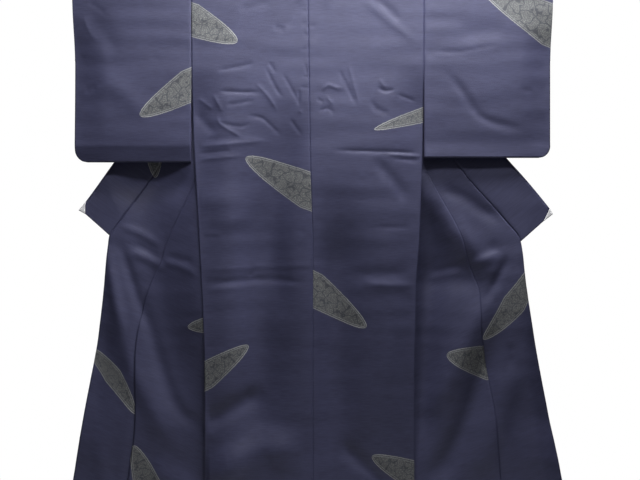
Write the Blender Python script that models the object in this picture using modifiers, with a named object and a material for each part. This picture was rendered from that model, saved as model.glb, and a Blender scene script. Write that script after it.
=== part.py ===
import bpy
import bmesh
from math import cos, exp, hypot, pi, radians, sin
from mathutils import Vector

# A woman's long kimono of navy silk, hung with its back to the viewer on a straight pole that runs
# through both sleeves. Both fronts are folded outward, so that the overlap panels (okumi) and the
# opened ends of the wide collar lie beside the back, behind the sleeves.
#
# Lengths below are centimetres. x is measured outward from the centre back on either side, y away
# from the viewer, z up from the pole's axis. A drop is a distance down from that axis.

CM = 0.01
LEFT, RIGHT = -1, 1

WALL = 0.12            # thickness of the cloth with its allowances
SEAM_GAP = 0.04        # between two pieces at a seam
POLE_RADIUS = 1.4
POLE_LENGTH = 146.0
POLE_CHAMFER = 0.2
OVER_POLE = 1.52       # middle of the cloth above the pole's axis
BESIDE_POLE = 1.70     # middle of the cloth in front of and behind the axis
ARC_STEPS = 8          # over the pole from back to front
ARC_LENGTH = 5.1       # of cloth over the pole

HEM = 160.0
SLEEVE_SEAM = 21.4     # the sleeve is sewn on down to here, and its cuff is open as far
SIDE_SEAM_TOP = 36.0   # the side is open from the sleeve seam to here
FRONT_WIDTH = 24.0     # side seam to okumi seam
SHOULDER_WIDTH = 23.0  # neck to sleeve on the front
LEAST_TURN = 1.1       # narrowest strip of front between side seam and crease
TURN = 0.30            # between the two layers at the front's crease
BEND = 0.15            # the crease's own half width
CLOSE_IN = 10.0        # back and front close in on the side seam over this width

NECK_HALF = 8.5        # neck opening on the shoulder
NECK_BACK = 6.2        # where the neckline meets the shoulder's curve at the back
NECK_DIP = 0.8         # the neckline is lower at the centre back
NECK_CURVE = 0.7       # how full the neckline's curve is over the shoulder
NECK_CREASE = 10.0     # where the front starts to turn outward
ROLL_END = 16.5        # drop at which the front and collar have turned right over

COLLAR_LEAF_GAP = 0.2  # between the two halves of the folded collar
COLLAR_SHORT = 0.4     # the inner half stops this far above the seam
COLLAR_CLOTH = 11.0    # width of the opened collar
LEAF_LEAST = 0.6       # a narrower inner half is pressed flat
COLLAR_LEAN = 5.0      # degrees that the collar leans back at the neck
SQUARE_END = 55.0      # the collar stands square to its seam as far as this drop
SQUARE_FADE = 10.0     # and less and less so over the stretch above it
SLEEVE_CORNER = 3.3    # radius of the sleeve's lower outer corner
SLEEVE_EDGE = 0.25     # half depth of the closed outer edge
SLEEVE_CLOSE = 9.0     # the sleeve closes in on that edge over this width
CUFF_ROUND = 6.0       # and does so from this drop on, down to the end of the cuff


# Half depth of each layer from the pole's plane: the back, the garment's side, the fronts that
# are folded outward, and the sleeve.
HANG = {
    "columns": ("drop", "back", "side", "flap", "sleeve"),
    "rows": (
        (0.0, 1.70, 1.70, 2.00, 1.70),
        (8.0, 1.70, 1.68, 2.08, 1.68),
        (SLEEVE_SEAM, 1.62, 1.45, 2.05, 1.45),
        (SIDE_SEAM_TOP, 1.52, 0.08, 1.80, 0.95),
        (47.5, 1.42, 0.08, 1.55, 0.40),
        (70.0, 1.25, 0.08, 1.15, 0.40),
        (95.0, 1.10, 0.08, 0.85, 0.40),
        (160.0, 0.95, 0.08, 0.70, 0.40),
    ),
}

CENTRE = {
    "columns": ("drop", "x"),
    "rows": ((0.0, -0.3), (44.0, 0.3), (77.0, 1.1), (160.0, 1.1)),
}

# Half width of the back at the side seam
SIDE_SEAMS = {
    LEFT: {
        "columns": ("drop", "half"),
        "rows": ((0.0, 31.9), (30.0, 31.8), (69.0, 30.0), (91.5, 28.9), (105.0, 28.5), (160.0, 28.5)),
    },
    RIGHT: {
        "columns": ("drop", "half"),
        "rows": ((0.0, 31.2), (30.0, 31.2), (69.0, 30.1), (81.0, 29.3), (119.0, 28.7), (160.0, 28.9)),
    },
}

# The fronts where they come to lie: for a level of the cloth at its drop on the side seam, the
# okumi seam, and the okumi's outer edge (the collar seam, below 82.4 the front edge).
FRONTS = {
    LEFT: {
        "columns": ("drop", "seam_x", "seam_z", "edge_x", "edge_z"),
        "rows": (
            (21.4, 20.0, -18.4, 20.1, -18.3),
            (40.0, 25.8, -36.1, 30.6, -34.1),
            (59.1, 31.9, -53.8, 41.8, -49.8),
            (77.8, 39.9, -70.7, 52.7, -65.1),
            (82.4, 41.2, -75.1, 54.7, -69.4),
            (86.9, 43.1, -79.2, 55.1, -73.9),
            (95.6, 45.9, -87.4, 55.8, -82.6),
            (109.7, 48.0, -101.3, 57.6, -96.5),
            (126.4, 47.9, -118.0, 60.8, -112.9),
            (143.2, 49.7, -134.6, 63.9, -129.5),
            (160.0, 51.5, -151.6, 66.6, -146.6),
        ),
    },
    RIGHT: {
        "columns": ("drop", "seam_x", "seam_z", "edge_x", "edge_z"),
        "rows": (
            (21.4, 20.3, -18.2, 20.4, -18.1),
            (53.4, 31.4, -48.1, 38.6, -45.5),
            (60.1, 34.5, -54.3, 42.8, -51.1),
            (76.4, 41.9, -68.6, 53.6, -64.0),
            (82.4, 43.5, -74.3, 57.7, -69.6),
            (93.3, 47.0, -84.7, 59.1, -80.4),
            (101.2, 47.3, -92.6, 60.2, -88.2),
            (116.4, 49.3, -107.6, 62.8, -103.2),
            (125.6, 50.8, -116.6, 64.6, -112.2),
            (143.6, 52.3, -134.6, 68.0, -129.9),
            (160.0, 53.2, -151.0, 71.0, -146.2),
        ),
    },
}

# How far the standing collar leans outward, in degrees, along its seam from the top of the pole
# (negative) to the front, until it lies flat
COLLAR_FALL = {
    "columns": ("drop", "lean"),
    "rows": (
        (-ARC_LENGTH, 0.0), (-ARC_LENGTH / 2, 9.0), (0.0, 26.0), (4.0, 48.0), (8.5, 68.0),
        (12.5, 82.0), (ROLL_END, 90.0),
    ),
}

# The collar beyond its seam: its rise above the level, in degrees, and the width that shows
COLLARS = {
    LEFT: {
        "columns": ("drop", "rise", "width"),
        "rows": (
            (0.0, 0.0, 5.5), (ROLL_END, 27.0, 5.7), (21.4, 31.0, 6.6), (50.0, 36.0, 10.9),
            (61.0, 36.0, 10.9), (80.0, 48.5, 10.9), (82.4, 48.2, 10.1),
        ),
    },
    RIGHT: {
        "columns": ("drop", "rise", "width"),
        "rows": (
            (0.0, 0.0, 5.5), (ROLL_END, 27.0, 5.7), (21.4, 31.0, 6.6), (50.0, 38.0, 10.9),
            (61.0, 39.0, 10.9), (80.0, 38.5, 11.8), (82.4, 42.2, 8.6),
        ),
    },
}

# Tip of the collar, past the dark cloth's last corner above and below it
COLLAR_TIPS = {LEFT: (62.8, -61.1), RIGHT: (66.8, -62.1)}

SLEEVES = {
    LEFT: {
        "columns": ("drop", "inner", "outer"),
        "rows": ((0.0, 31.9, 64.3), (21.4, 31.9, 63.8), (47.8, 33.0, 64.0)),
    },
    RIGHT: {
        "columns": ("drop", "inner", "outer"),
        "rows": ((0.0, 31.2, 66.3), (21.4, 31.2, 65.8), (46.7, 31.4, 65.8)),
    },
}

# Long soft folds of the folded-out fronts, the back and the sleeves, from one end to the other;
# height is towards the viewer
FLAP_FOLDS = {
    LEFT: {
        "columns": ("from_x", "from_z", "to_x", "to_z", "reach", "height"),
        "rows": (
            (53.0, -72.0, 48.9, -93.7, 2.6, 0.55),
            (48.9, -93.7, 43.4, -112.8, 2.6, 0.60),
            (43.4, -112.8, 35.5, -122.5, 2.4, 0.40),
            (42.0, -97.0, 36.0, -112.0, 2.4, -0.45),
            (56.5, -92.0, 59.5, -118.0, 2.4, -0.40),
        ),
    },
    RIGHT: {
        "columns": ("from_x", "from_z", "to_x", "to_z", "reach", "height"),
        "rows": (
            (37.0, -57.5, 54.5, -69.5, 2.6, -0.50),
            (44.5, -95.0, 36.5, -112.0, 2.6, -0.50),
            (49.5, -107.0, 38.5, -131.0, 2.8, 0.55),
            (60.5, -92.0, 66.5, -124.0, 2.6, -0.40),
        ),
    },
}

BACK_FOLDS = {
    LEFT: {
        "columns": ("from_x", "from_z", "to_x", "to_z", "reach", "height"),
        "rows": (
            (26.0, -78.5, 6.0, -78.5, 2.8, -0.30),
            (25.0, -122.5, 12.0, -115.5, 3.0, 0.35),
            (14.0, -28.0, 9.0, -60.0, 3.2, 0.30),
            (18.0, -95.0, 15.0, -150.0, 4.0, 0.30),
        ),
    },
    RIGHT: {
        "columns": ("from_x", "from_z", "to_x", "to_z", "reach", "height"),
        "rows": (
            (27.0, -82.5, 12.0, -81.0, 2.8, -0.30),
            (11.0, -21.0, 17.0, -40.0, 3.2, 0.30),
            (22.0, -33.0, 25.0, -62.0, 3.0, -0.30),
            (14.0, -100.0, 17.0, -150.0, 4.0, 0.30),
        ),
    },
}
SLEEVE_FOLDS = {
    LEFT: {
        "columns": ("from_x", "from_z", "to_x", "to_z", "reach", "height"),
        "rows": (
            (60.0, -6.0, 52.0, -19.0, 2.6, -0.25),
            (57.0, -24.0, 43.0, -36.0, 3.0, 0.25),
        ),
    },
    RIGHT: {
        "columns": ("from_x", "from_z", "to_x", "to_z", "reach", "height"),
        "rows": (
            (37.0, -21.0, 45.0, -31.0, 2.8, -0.25),
            (45.0, -31.0, 58.0, -35.5, 2.8, -0.25),
            (40.0, -13.0, 54.0, -11.5, 2.6, -0.20),
        ),
    },
}
FOLD_FADE = 4.0        # the back's folds and the sleeve's die out this near their seams

BACK_STEP = 6.4        # between the levels of the back
FRONT_STEP = 6.0       # between the levels of the front below its collar
FRONT_LOW = 88.0       # first of those levels
EVEN_FROM, EVEN_OVER = 1.0, 16.0   # stations of the back spread out evenly over these drops

BACK_DROPS = [HEM - BACK_STEP * step for step in range(25)]
FRONT_TOP_DROPS = [0.0, 2.0, 4.2, 6.5, 9.0, 11.5, 14.0, ROLL_END, SLEEVE_SEAM]
COLLAR_DROPS = [22.8, 28.0, 34.0, 40.0, 46.0, 52.0, 58.0, 64.0, 70.0, 75.5, 80.0, 82.4]
FRONT_LOW_DROPS = [FRONT_LOW + FRONT_STEP * step for step in range(13)]
ARC_ANGLES = [180.0 * step / ARC_STEPS for step in range(1, ARC_STEPS)]

NECK_STATIONS = 4                         # faces from the centre back to the neckline's end
FLAP_PLACES = (1.0, 0.8, 0.6, 0.4, 0.2)   # along the front beyond its crease, from the far end
HIDDEN_PLACES = (0.3, 0.65, 1.0)          # along the front before its crease, to the side seam
BODY_STATIONS = NECK_STATIONS + len(FLAP_PLACES) + 3 + len(HIDDEN_PLACES)
OKUMI_STATIONS = 5
COLLAR_STATIONS = 8
SLEEVE_PLACES = (0.0, 0.25, 0.5, 0.75, 0.9, 1.0)

SILK = {"color": (0.045, 0.047, 0.075), "roughness": 0.62, "metallic": 0.0}
PALE_SILK = {"color": (0.42, 0.42, 0.44), "roughness": 0.6, "metallic": 0.0}
POLE_WOOD = {"color": (0.52, 0.36, 0.21), "roughness": 0.5, "metallic": 0.0}


def clamp(value, low=0.0, high=1.0):
    return min(max(value, low), high)


def ease(value):
    value = clamp(value)
    return value * value * (3 - 2 * value)


def mix(first, second, share):
    return first + (second - first) * share


# A column of a table, read between its rows without overshoot
def read(table, name, at):
    place = table["columns"].index(name)
    stations = [row[0] for row in table["rows"]]
    values = [row[place] for row in table["rows"]]
    at = clamp(at, stations[0], stations[-1])
    steps = [after - before for before, after in zip(stations, stations[1:])]
    rates = [(after - before) / step for before, after, step in zip(values, values[1:], steps)]
    slopes = [rates[0]]
    for before, after in zip(rates, rates[1:]):
        slopes.append(2 * before * after / (before + after) if before * after > 0 else 0.0)
    slopes.append(rates[-1])
    row = max(index for index, station in enumerate(stations[:-1]) if station <= at)
    t = (at - stations[row]) / steps[row]
    rise = (3 - 2 * t) * t * t
    bend = slopes[row] * (1 - t) * (1 - t) * t - slopes[row + 1] * (1 - t) * t * t
    return mix(values[row], values[row + 1], rise) + steps[row] * bend


def hang(layer, drop):
    return read(HANG, layer, drop)


# How far the folds of a table lift the cloth towards the viewer
def fold_lift(table, x, z):
    lift = 0.0
    for from_x, from_z, to_x, to_z, reach, height in table["rows"]:
        along_x, along_z = to_x - from_x, to_z - from_z
        share = ((x - from_x) * along_x + (z - from_z) * along_z) / (along_x ** 2 + along_z ** 2)
        share = clamp(share)
        away = hypot(x - from_x - share * along_x, z - from_z - share * along_z)
        lift += height * exp(-(away / reach) ** 2)
    return lift


def flap_lift(side, x, z):
    return fold_lift(FLAP_FOLDS[side], x, z)


# One level of a front: its side edge, its crease, the way it runs on from there and how far
def front_level(side, drop):
    table = FRONTS[side]
    edge = read(SIDE_SEAMS[side], "half", drop)
    seam_x = read(table, "seam_x", drop)
    seam_z = read(table, "seam_z", drop)
    level = max(drop, SLEEVE_SEAM)
    out = seam_x - read(SIDE_SEAMS[side], "half", level)
    up = seam_z + level
    hidden = (FRONT_WIDTH ** 2 - out ** 2 - up ** 2) / (2 * (FRONT_WIDTH + out))
    hidden = max(hidden, LEAST_TURN)
    crease = read(SIDE_SEAMS[side], "half", level) - hidden
    run = Vector((seam_x - crease, 0.0, up))
    length = run.length
    roll = 1.0
    if drop < SLEEVE_SEAM:
        share = drop / SLEEVE_SEAM
        crease = mix(NECK_CREASE, crease, share)
        length = mix(SHOULDER_WIDTH - (edge - NECK_CREASE), length, share)
        roll = mix(clamp(drop / ROLL_END), ease(drop / ROLL_END), 0.5)
    rise = run.normalized().z * roll
    angle = pi * roll
    flat = (1 - rise * rise) ** 0.5
    way = Vector((-cos(angle) * flat, sin(angle), -cos(angle) * rise))
    depth = hang("flap", drop) - TURN
    start = Vector((crease, depth, -drop))
    return edge, start, way, length, roll


# A point of the front at a distance beyond its crease
def flap_point(side, drop, distance):
    edge, start, way, length, roll = front_level(side, drop)
    point = start + way * distance
    point.y += TURN * (1 - cos(pi * roll)) / 2
    point.y -= flap_lift(side, point.x, point.z) * roll
    return point


def front_point(side, drop, station):
    edge, start, way, length, roll = front_level(side, drop)
    bend_station = len(FLAP_PLACES)
    if station < bend_station:
        distance = mix(BEND, length, FLAP_PLACES[station])
        return flap_point(side, drop, distance)
    if station == bend_station:
        return flap_point(side, drop, BEND)
    if station == bend_station + 1:
        return start + Vector((0.0, TURN * (1 - cos(pi * roll)) / 4, 0.0))
    if station == bend_station + 2:
        return start + Vector((BEND, 0.0, 0.0))
    hidden = edge - start.x
    reach = hidden * HIDDEN_PLACES[station - bend_station - 3]
    nearness = ease((hidden - reach) / min(hidden, CLOSE_IN))
    depth = mix(hang("side", drop), start.y, nearness)
    return Vector((start.x + reach, depth, -drop))


def back_depth(side, x, drop):
    edge = read(SIDE_SEAMS[side], "half", drop)
    free = ease((edge - x) / FOLD_FADE) * ease((x - centre_line(side, drop)) / FOLD_FADE)
    lift = fold_lift(BACK_FOLDS[side], x, -drop) * free
    return -mix(hang("side", drop), hang("back", drop), ease((edge - x) / CLOSE_IN)) - lift


def centre_line(side, drop):
    return side * read(CENTRE, "x", drop) + SEAM_GAP / 2


# Stations of a level between its neck point and its side edge, spaced as on the front
def shoulder_place(side, station):
    edge = read(SIDE_SEAMS[side], "half", 0.0)
    return (front_point(side, 0.0, station).x - NECK_HALF) / (edge - NECK_HALF)


def back_x(side, drop, station, neck):
    centre = centre_line(side, drop)
    edge = read(SIDE_SEAMS[side], "half", drop)
    if station <= NECK_STATIONS:
        return mix(centre, neck, station / NECK_STATIONS)
    beyond = station - NECK_STATIONS
    even = beyond / (BODY_STATIONS - 1 - NECK_STATIONS)
    share = mix(shoulder_place(side, beyond), even, ease((drop - EVEN_FROM) / EVEN_OVER))
    return mix(neck, edge, share)


def neck_x(angle):
    return mix(NECK_BACK, NECK_HALF, sin(radians(min(angle, 90.0))) ** NECK_CURVE)


def arc_point(x, angle):
    turn = radians(angle)
    return Vector((x, -BESIDE_POLE * cos(turn), OVER_POLE * sin(turn)))


# The body's levels run from the back hem over the pole to the front hem
BODY_LEVELS = [("back", drop) for drop in BACK_DROPS]
BODY_LEVELS += [("back", 0.0)]
BODY_LEVELS += [("arc", angle) for angle in ARC_ANGLES]
BODY_LEVELS += [("front", drop) for drop in FRONT_TOP_DROPS + COLLAR_DROPS + FRONT_LOW_DROPS]


def body_point(side, station, level):
    part, at = BODY_LEVELS[level]
    beyond = max(station - NECK_STATIONS, 0)
    if part == "back":
        x = back_x(side, at, station, NECK_BACK)
        dip = 0.0
        if at == 0.0 and station < NECK_STATIONS:
            dip = NECK_DIP * (1 - (station / NECK_STATIONS) ** 2)
        return Vector((x, back_depth(side, x, at), -at - dip))
    if part == "arc":
        x = back_x(side, 0.0, station, neck_x(at))
        return arc_point(x, at)
    return front_point(side, at, beyond)


# Levels and stations over the neck opening are left out
def body_keeps(station, level):
    return station >= NECK_STATIONS or level + 1 <= len(BACK_DROPS)


def okumi_point(side, station, level):
    drop = (COLLAR_DROPS + FRONT_LOW_DROPS)[level]
    table = FRONTS[side]
    seam = Vector((read(table, "seam_x", drop), 0.0, read(table, "seam_z", drop)))
    edge = Vector((read(table, "edge_x", drop), 0.0, read(table, "edge_z", drop)))
    across = edge - seam
    point = seam + across.normalized() * SEAM_GAP
    point += (edge - point) * (station / (OKUMI_STATIONS - 1))
    point.y = hang("flap", drop) - flap_lift(side, point.x, point.z)
    return point


# The collar's seam from the centre back to the end of one side: each place with the way that the
# body's cloth runs there, and the way and width in which the collar rises from it
def collar_side(side):
    rows = []
    lean = radians(COLLAR_LEAN)
    standing = Vector((0.0, -sin(lean), cos(lean)))
    neckline = BODY_LEVELS.index(("back", 0.0))
    for station in range(NECK_STATIONS + 1):
        base = body_point(side, station, neckline)
        rows.append((base, Vector((0.0, -1.0, 0.0)), None, standing, 0.0))
    for angle in ARC_ANGLES:
        turn = radians(angle)
        radial = Vector((0.0, -cos(turn), sin(turn)))
        fall = radians(read(COLLAR_FALL, "lean", ARC_LENGTH * (angle / 180.0 - 1)))
        up = standing.lerp(Vector((0.0, 0.0, 1.0)), clamp(angle / 90.0)) if angle < 90.0 else radial
        up = up.normalized() * cos(fall) + Vector((sin(fall), 0.0, 0.0))
        rows.append((arc_point(neck_x(angle), angle), radial, None, up, 0.0))
    for drop in FRONT_TOP_DROPS + COLLAR_DROPS:
        edge, start, way, length, roll = front_level(side, drop)
        turn = radians(90.0 + read(COLLAR_FALL, "lean", drop))
        rise = radians(read(COLLARS[side], "rise", drop))
        up = Vector((-cos(turn) * cos(rise), sin(turn), -cos(turn) * sin(rise)))
        if drop <= SLEEVE_SEAM:
            base = flap_point(side, drop, length)
        else:
            table = FRONTS[side]
            base = Vector((read(table, "edge_x", drop), 0.0, read(table, "edge_z", drop)))
            base.y = hang("flap", drop) - flap_lift(side, base.x, base.z)
            way = up
        rows.append((base, None, way, up, drop))
    return rows


# One row of the collar: up its outer half, round the fold and down its inner half
def collar_row(side, rows, index):
    base, outward, way, up, drop = rows[index]
    before = rows[max(index - 1, 0)][0]
    after = rows[min(index + 1, len(rows) - 1)][0]
    along = (after - before).normalized()
    if index == 0:
        along = Vector((1.0, 0.0, 0.0))
    if way is None:
        way = outward.cross(along).normalized()
    square = clamp((SQUARE_END - drop) / SQUARE_FADE) if outward is None else 0.0
    up = (up - along * up.dot(along) * square).normalized()
    inward = up.cross(along).normalized()
    width = read(COLLARS[side], "width", drop)
    leaf = min(width - COLLAR_SHORT, COLLAR_CLOTH - width)
    folded = leaf > LEAF_LEAST
    bend = COLLAR_LEAF_GAP / 2 if folded else 0.0
    clear = SEAM_GAP + WALL * (1 - min(way.dot(up) ** 2, 1.0)) ** 0.5
    foot = base + way * clear
    places = [(share * (width - bend), 0.0) for share in (0.0, 1 / 3, 2 / 3, 1.0)]
    places.append((width, COLLAR_LEAF_GAP / 2))
    places += [(width - bend - leaf * share, COLLAR_LEAF_GAP) for share in (0.0, 0.5, 1.0)]
    points = []
    for height, depth in places:
        point = foot + up * height + inward * depth
        if drop > ROLL_END:
            point.y += flap_lift(side, base.x, base.z) - flap_lift(side, point.x, point.z)
        points.append(point)
    return points, folded


def mirrored(point, side):
    return Vector((side * point.x, point.y, point.z)) * CM


def finish(name, look):
    material = bpy.data.materials.new(name)
    material.use_nodes = True
    shader = material.node_tree.nodes["Principled BSDF"]
    shader.inputs["Base Color"].default_value = (*look["color"], 1.0)
    shader.inputs["Roughness"].default_value = look["roughness"]
    shader.inputs["Metallic"].default_value = look["metallic"]
    material.diffuse_color = (*look["color"], 1.0)
    return material


def add_object(name, sheet, look):
    mesh = bpy.data.meshes.new(name)
    sheet.to_mesh(mesh)
    sheet.free()
    mesh.materials.append(finish(name, look))
    piece = bpy.data.objects.new(name, mesh)
    garment.objects.link(piece)
    return piece


# A flat grid of cloth as a bmesh, with the station and level of each vertex
def grid(stations, levels):
    sheet = bmesh.new()
    bmesh.ops.create_grid(sheet, x_segments=stations - 1, y_segments=levels - 1, size=0.5)
    places = {}
    for vertex in sheet.verts:
        station = round((vertex.co.x + 0.5) * (stations - 1))
        level = round((vertex.co.y + 0.5) * (levels - 1))
        places[vertex] = (station, level)
    return sheet, places


def drop_faces(sheet, places, keeps):
    gone = []
    for face in sheet.faces:
        station = min(places[vertex][0] for vertex in face.verts)
        level = min(places[vertex][1] for vertex in face.verts)
        if not keeps(station, level):
            gone.append(face)
    bmesh.ops.delete(sheet, geom=gone, context="FACES")


# The wall: the sheet thickened by half to each side
def thicken(piece):
    wall = piece.modifiers.new("wall", "SOLIDIFY")
    wall.thickness = WALL * CM
    wall.offset = 0.0


def make_body(name, side):
    sheet, places = grid(BODY_STATIONS, len(BODY_LEVELS))
    for vertex, (station, level) in places.items():
        vertex.co = mirrored(body_point(side, station, level), side)
    drop_faces(sheet, places, body_keeps)
    thicken(add_object(name, sheet, SILK))


def make_okumi(name, side):
    sheet, places = grid(OKUMI_STATIONS, len(COLLAR_DROPS + FRONT_LOW_DROPS))
    for vertex, (station, level) in places.items():
        vertex.co = mirrored(okumi_point(side, station, level), side)
    thicken(add_object(name, sheet, SILK))


# Where the inner half of the collar is too narrow to fold, only the outer half is left
def collar_keeps(rows, station, level):
    return station < 3 or (rows[level][1] and rows[level + 1][1])


def make_collar(name):
    rows = []
    for side in (LEFT, RIGHT):
        seam = collar_side(side)
        half = []
        for index in range(len(seam)):
            points, folded = collar_row(side, seam, index)
            half.append(([mirrored(point, side) for point in points], folded))
        rows = half[::-1] if side == LEFT else rows[:-1] + half
    sheet, places = grid(COLLAR_STATIONS, len(rows))
    for vertex, (station, level) in places.items():
        vertex.co = rows[level][0][station]
    drop_faces(sheet, places, lambda station, level: collar_keeps(rows, station, level))
    thicken(add_object(name, sheet, SILK))


# The collar's pale lining at one tip: a small triangle past the dark cloth's corner
def make_lining(name, side):
    seam = collar_side(side)
    above = collar_row(side, seam, len(seam) - 2)[0][3]
    below = collar_row(side, seam, len(seam) - 1)[0][3]
    tip_x, tip_z = COLLAR_TIPS[side]
    tip = Vector((tip_x, above.y, tip_z))
    apart = (tip - (above + below) / 2).normalized() * SEAM_GAP
    corners = [above + apart, tip, below + apart]
    sheet = bmesh.new()
    bmesh.ops.create_circle(sheet, cap_ends=True, segments=3, radius=1.0)
    for vertex, corner in zip(sheet.verts, corners):
        vertex.co = mirrored(corner, side)
    thicken(add_object(name, sheet, PALE_SILK))


# Levels of the sleeve from the shoulder to its lower edge: drop, or None on the arc, and angle
def sleeve_levels(depth):
    levels = [(None, 90.0 + 180.0 * step / ARC_STEPS) for step in range(ARC_STEPS // 2)]
    levels += [(drop, None) for drop in (0.0, 5.5, 11.0, 16.5, SLEEVE_SEAM, 27.0, 33.0, 39.0)]
    for corner in (0.0, 30.0, 60.0, 90.0):
        levels.append((depth - SLEEVE_CORNER * (1 - sin(radians(corner))), corner))
    return levels


def sleeve_point(side, place, level, levels):
    drop, angle = levels[level]
    table = SLEEVES[side]
    inner = read(table, "inner", drop or 0.0) + SEAM_GAP
    outer = read(table, "outer", drop or 0.0)
    if drop is None:
        x = mix(inner, outer, place)
        return arc_point(x, angle)
    if angle is not None:
        outer -= SLEEVE_CORNER * (1 - cos(radians(angle)))
    x = mix(inner, outer, place)
    closed = ease((drop - CUFF_ROUND) / (SLEEVE_SEAM - CUFF_ROUND))
    closed *= ease(1 - (outer - x) / SLEEVE_CLOSE)
    depth = mix(hang("sleeve", drop), SLEEVE_EDGE, closed)
    return Vector((x, depth, -drop))


def sleeve_lift(side, x, drop):
    free = ease((x - read(SLEEVES[side], "inner", drop)) / FOLD_FADE)
    free *= ease((read(SLEEVES[side], "outer", drop) - x) / FOLD_FADE)
    return fold_lift(SLEEVE_FOLDS[side], x, -drop) * free * ease(drop / FOLD_FADE)


# The sleeve is a ring of cloth round the pole, sewn up at its outer end below the cuff
def make_sleeve(name, side):
    depth = SLEEVES[side]["rows"][-1][0]
    levels = sleeve_levels(depth)
    ring = list(range(len(levels)))
    ring = [(level, 1) for level in ring] + [(level, -1) for level in reversed(ring)]
    sheet, places = grid(len(SLEEVE_PLACES), len(ring))
    for vertex, (station, turn) in places.items():
        level, face = ring[turn]
        point = sleeve_point(side, SLEEVE_PLACES[station], level, levels)
        point.y *= face
        if face == -1:
            point.y -= sleeve_lift(side, point.x, -point.z)
        vertex.co = mirrored(point, side)
    closing = [level for level, (drop, angle) in enumerate(levels) if drop and drop >= SLEEVE_SEAM]
    last = len(SLEEVE_PLACES) - 1
    ends = {ring[turn]: vertex for vertex, (station, turn) in places.items() if station == last}
    for above, below in zip(closing, closing[1:]):
        corners = [ends[(above, 1)], ends[(below, 1)], ends[(below, -1)], ends[(above, -1)]]
        bmesh.ops.contextual_create(sheet, geom=corners)
    bmesh.ops.remove_doubles(sheet, verts=sheet.verts[:], dist=0.00005)
    bmesh.ops.recalc_face_normals(sheet, faces=sheet.faces[:])
    thicken(add_object(name, sheet, SILK))


def make_pole(name):
    bpy.ops.mesh.primitive_cylinder_add(
        vertices=32, radius=POLE_RADIUS * CM, depth=POLE_LENGTH * CM, rotation=(0.0, pi / 2, 0.0))
    pole = bpy.context.object
    pole.name = name
    pole.data.name = name
    pole.data.materials.append(finish(name, POLE_WOOD))
    for collection in pole.users_collection:
        collection.objects.unlink(pole)
    garment.objects.link(pole)
    chamfer = pole.modifiers.new("chamfer", "BEVEL")
    chamfer.width = POLE_CHAMFER * CM
    chamfer.segments = 1
    chamfer.limit_method = "ANGLE"
    chamfer.angle_limit = radians(60)


for leftover in list(bpy.data.objects):
    bpy.data.objects.remove(leftover, do_unlink=True)
garment = bpy.data.collections.new("kimono")
bpy.context.scene.collection.children.link(garment)

for side, word in ((LEFT, "left"), (RIGHT, "right")):
    make_body("body_" + word, side)
    make_sleeve("sleeve_" + word, side)
    make_okumi("okumi_" + word, side)
    make_lining("collar_lining_" + word, side)
make_collar("collar")
make_pole("pole")
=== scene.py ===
import bpy
import bmesh
import numpy as np
from functools import partial
from math import cos, hypot, pi, radians, sin
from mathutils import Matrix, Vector

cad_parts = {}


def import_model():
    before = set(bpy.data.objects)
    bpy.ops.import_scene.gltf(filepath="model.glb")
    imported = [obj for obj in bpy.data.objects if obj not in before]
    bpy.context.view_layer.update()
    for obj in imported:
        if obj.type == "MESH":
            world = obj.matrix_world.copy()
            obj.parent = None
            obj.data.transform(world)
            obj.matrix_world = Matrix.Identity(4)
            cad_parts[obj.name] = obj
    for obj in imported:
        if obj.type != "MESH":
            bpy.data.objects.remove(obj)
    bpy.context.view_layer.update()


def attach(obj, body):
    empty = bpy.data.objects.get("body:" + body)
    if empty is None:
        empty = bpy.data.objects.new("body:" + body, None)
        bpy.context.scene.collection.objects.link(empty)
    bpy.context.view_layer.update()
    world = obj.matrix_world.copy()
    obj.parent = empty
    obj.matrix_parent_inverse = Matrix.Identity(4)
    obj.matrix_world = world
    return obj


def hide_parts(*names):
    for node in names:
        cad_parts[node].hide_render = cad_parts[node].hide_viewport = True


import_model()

# A navy silk kimono on its pole, seen from the back, with both fronts folded outward beside it.
# Lengths are centimetres until a mesh is made. x runs outward from the centre back on either side,
# y away from the viewer, z up from the pole's axis. A drop is a distance down from that axis.

cm = 0.01
left, right = -1, 1
words = {left: "left", right: "right"}
cloth = {
    "thickness": 0.085, "seamGroove": 0.04, "seamReach": 0.30,  # a panel's edge at its seam
    "tuck": 0.14, "under": 0.11, "underReach": 0.45,  # the panel below it
}


def clamp(value, low=0.0, high=1.0):
    return min(max(value, low), high)


def ease(value):
    value = np.clip(value, 0.0, 1.0)
    return value * value * (3 - 2 * value)


def mix(first, second, share):
    return first + (second - first) * share


# A column of a table, read between its rows without overshoot
def readTable(table, name, at):
    place = table["columns"].index(name)
    stations = [row[0] for row in table["rows"]]
    values = [row[place] for row in table["rows"]]
    at = clamp(at, stations[0], stations[-1])
    steps = [after - before for before, after in zip(stations, stations[1:])]
    rates = [(after - before) / step for before, after, step in zip(values, values[1:], steps)]
    slopes = [rates[0]]
    for before, after in zip(rates, rates[1:]):
        slopes.append(2 * before * after / (before + after) if before * after > 0 else 0.0)
    slopes.append(rates[-1])
    row = max(index for index, station in enumerate(stations[:-1]) if station <= at)
    t = (at - stations[row]) / steps[row]
    rise = (3 - 2 * t) * t * t
    bend = slopes[row] * (1 - t) * (1 - t) * t - slopes[row + 1] * (1 - t) * t * t
    return mix(values[row], values[row + 1], rise) + steps[row] * bend


# One row for each station, from arrays or single values
def inRows(*columns):
    return np.stack(np.broadcast_arrays(*columns), axis=1)


# Even places from one value towards another, without the last
def spread(start, end, step):
    return list(np.linspace(start, end, round(abs(end - start) / step) + 1)[:-1])


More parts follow.
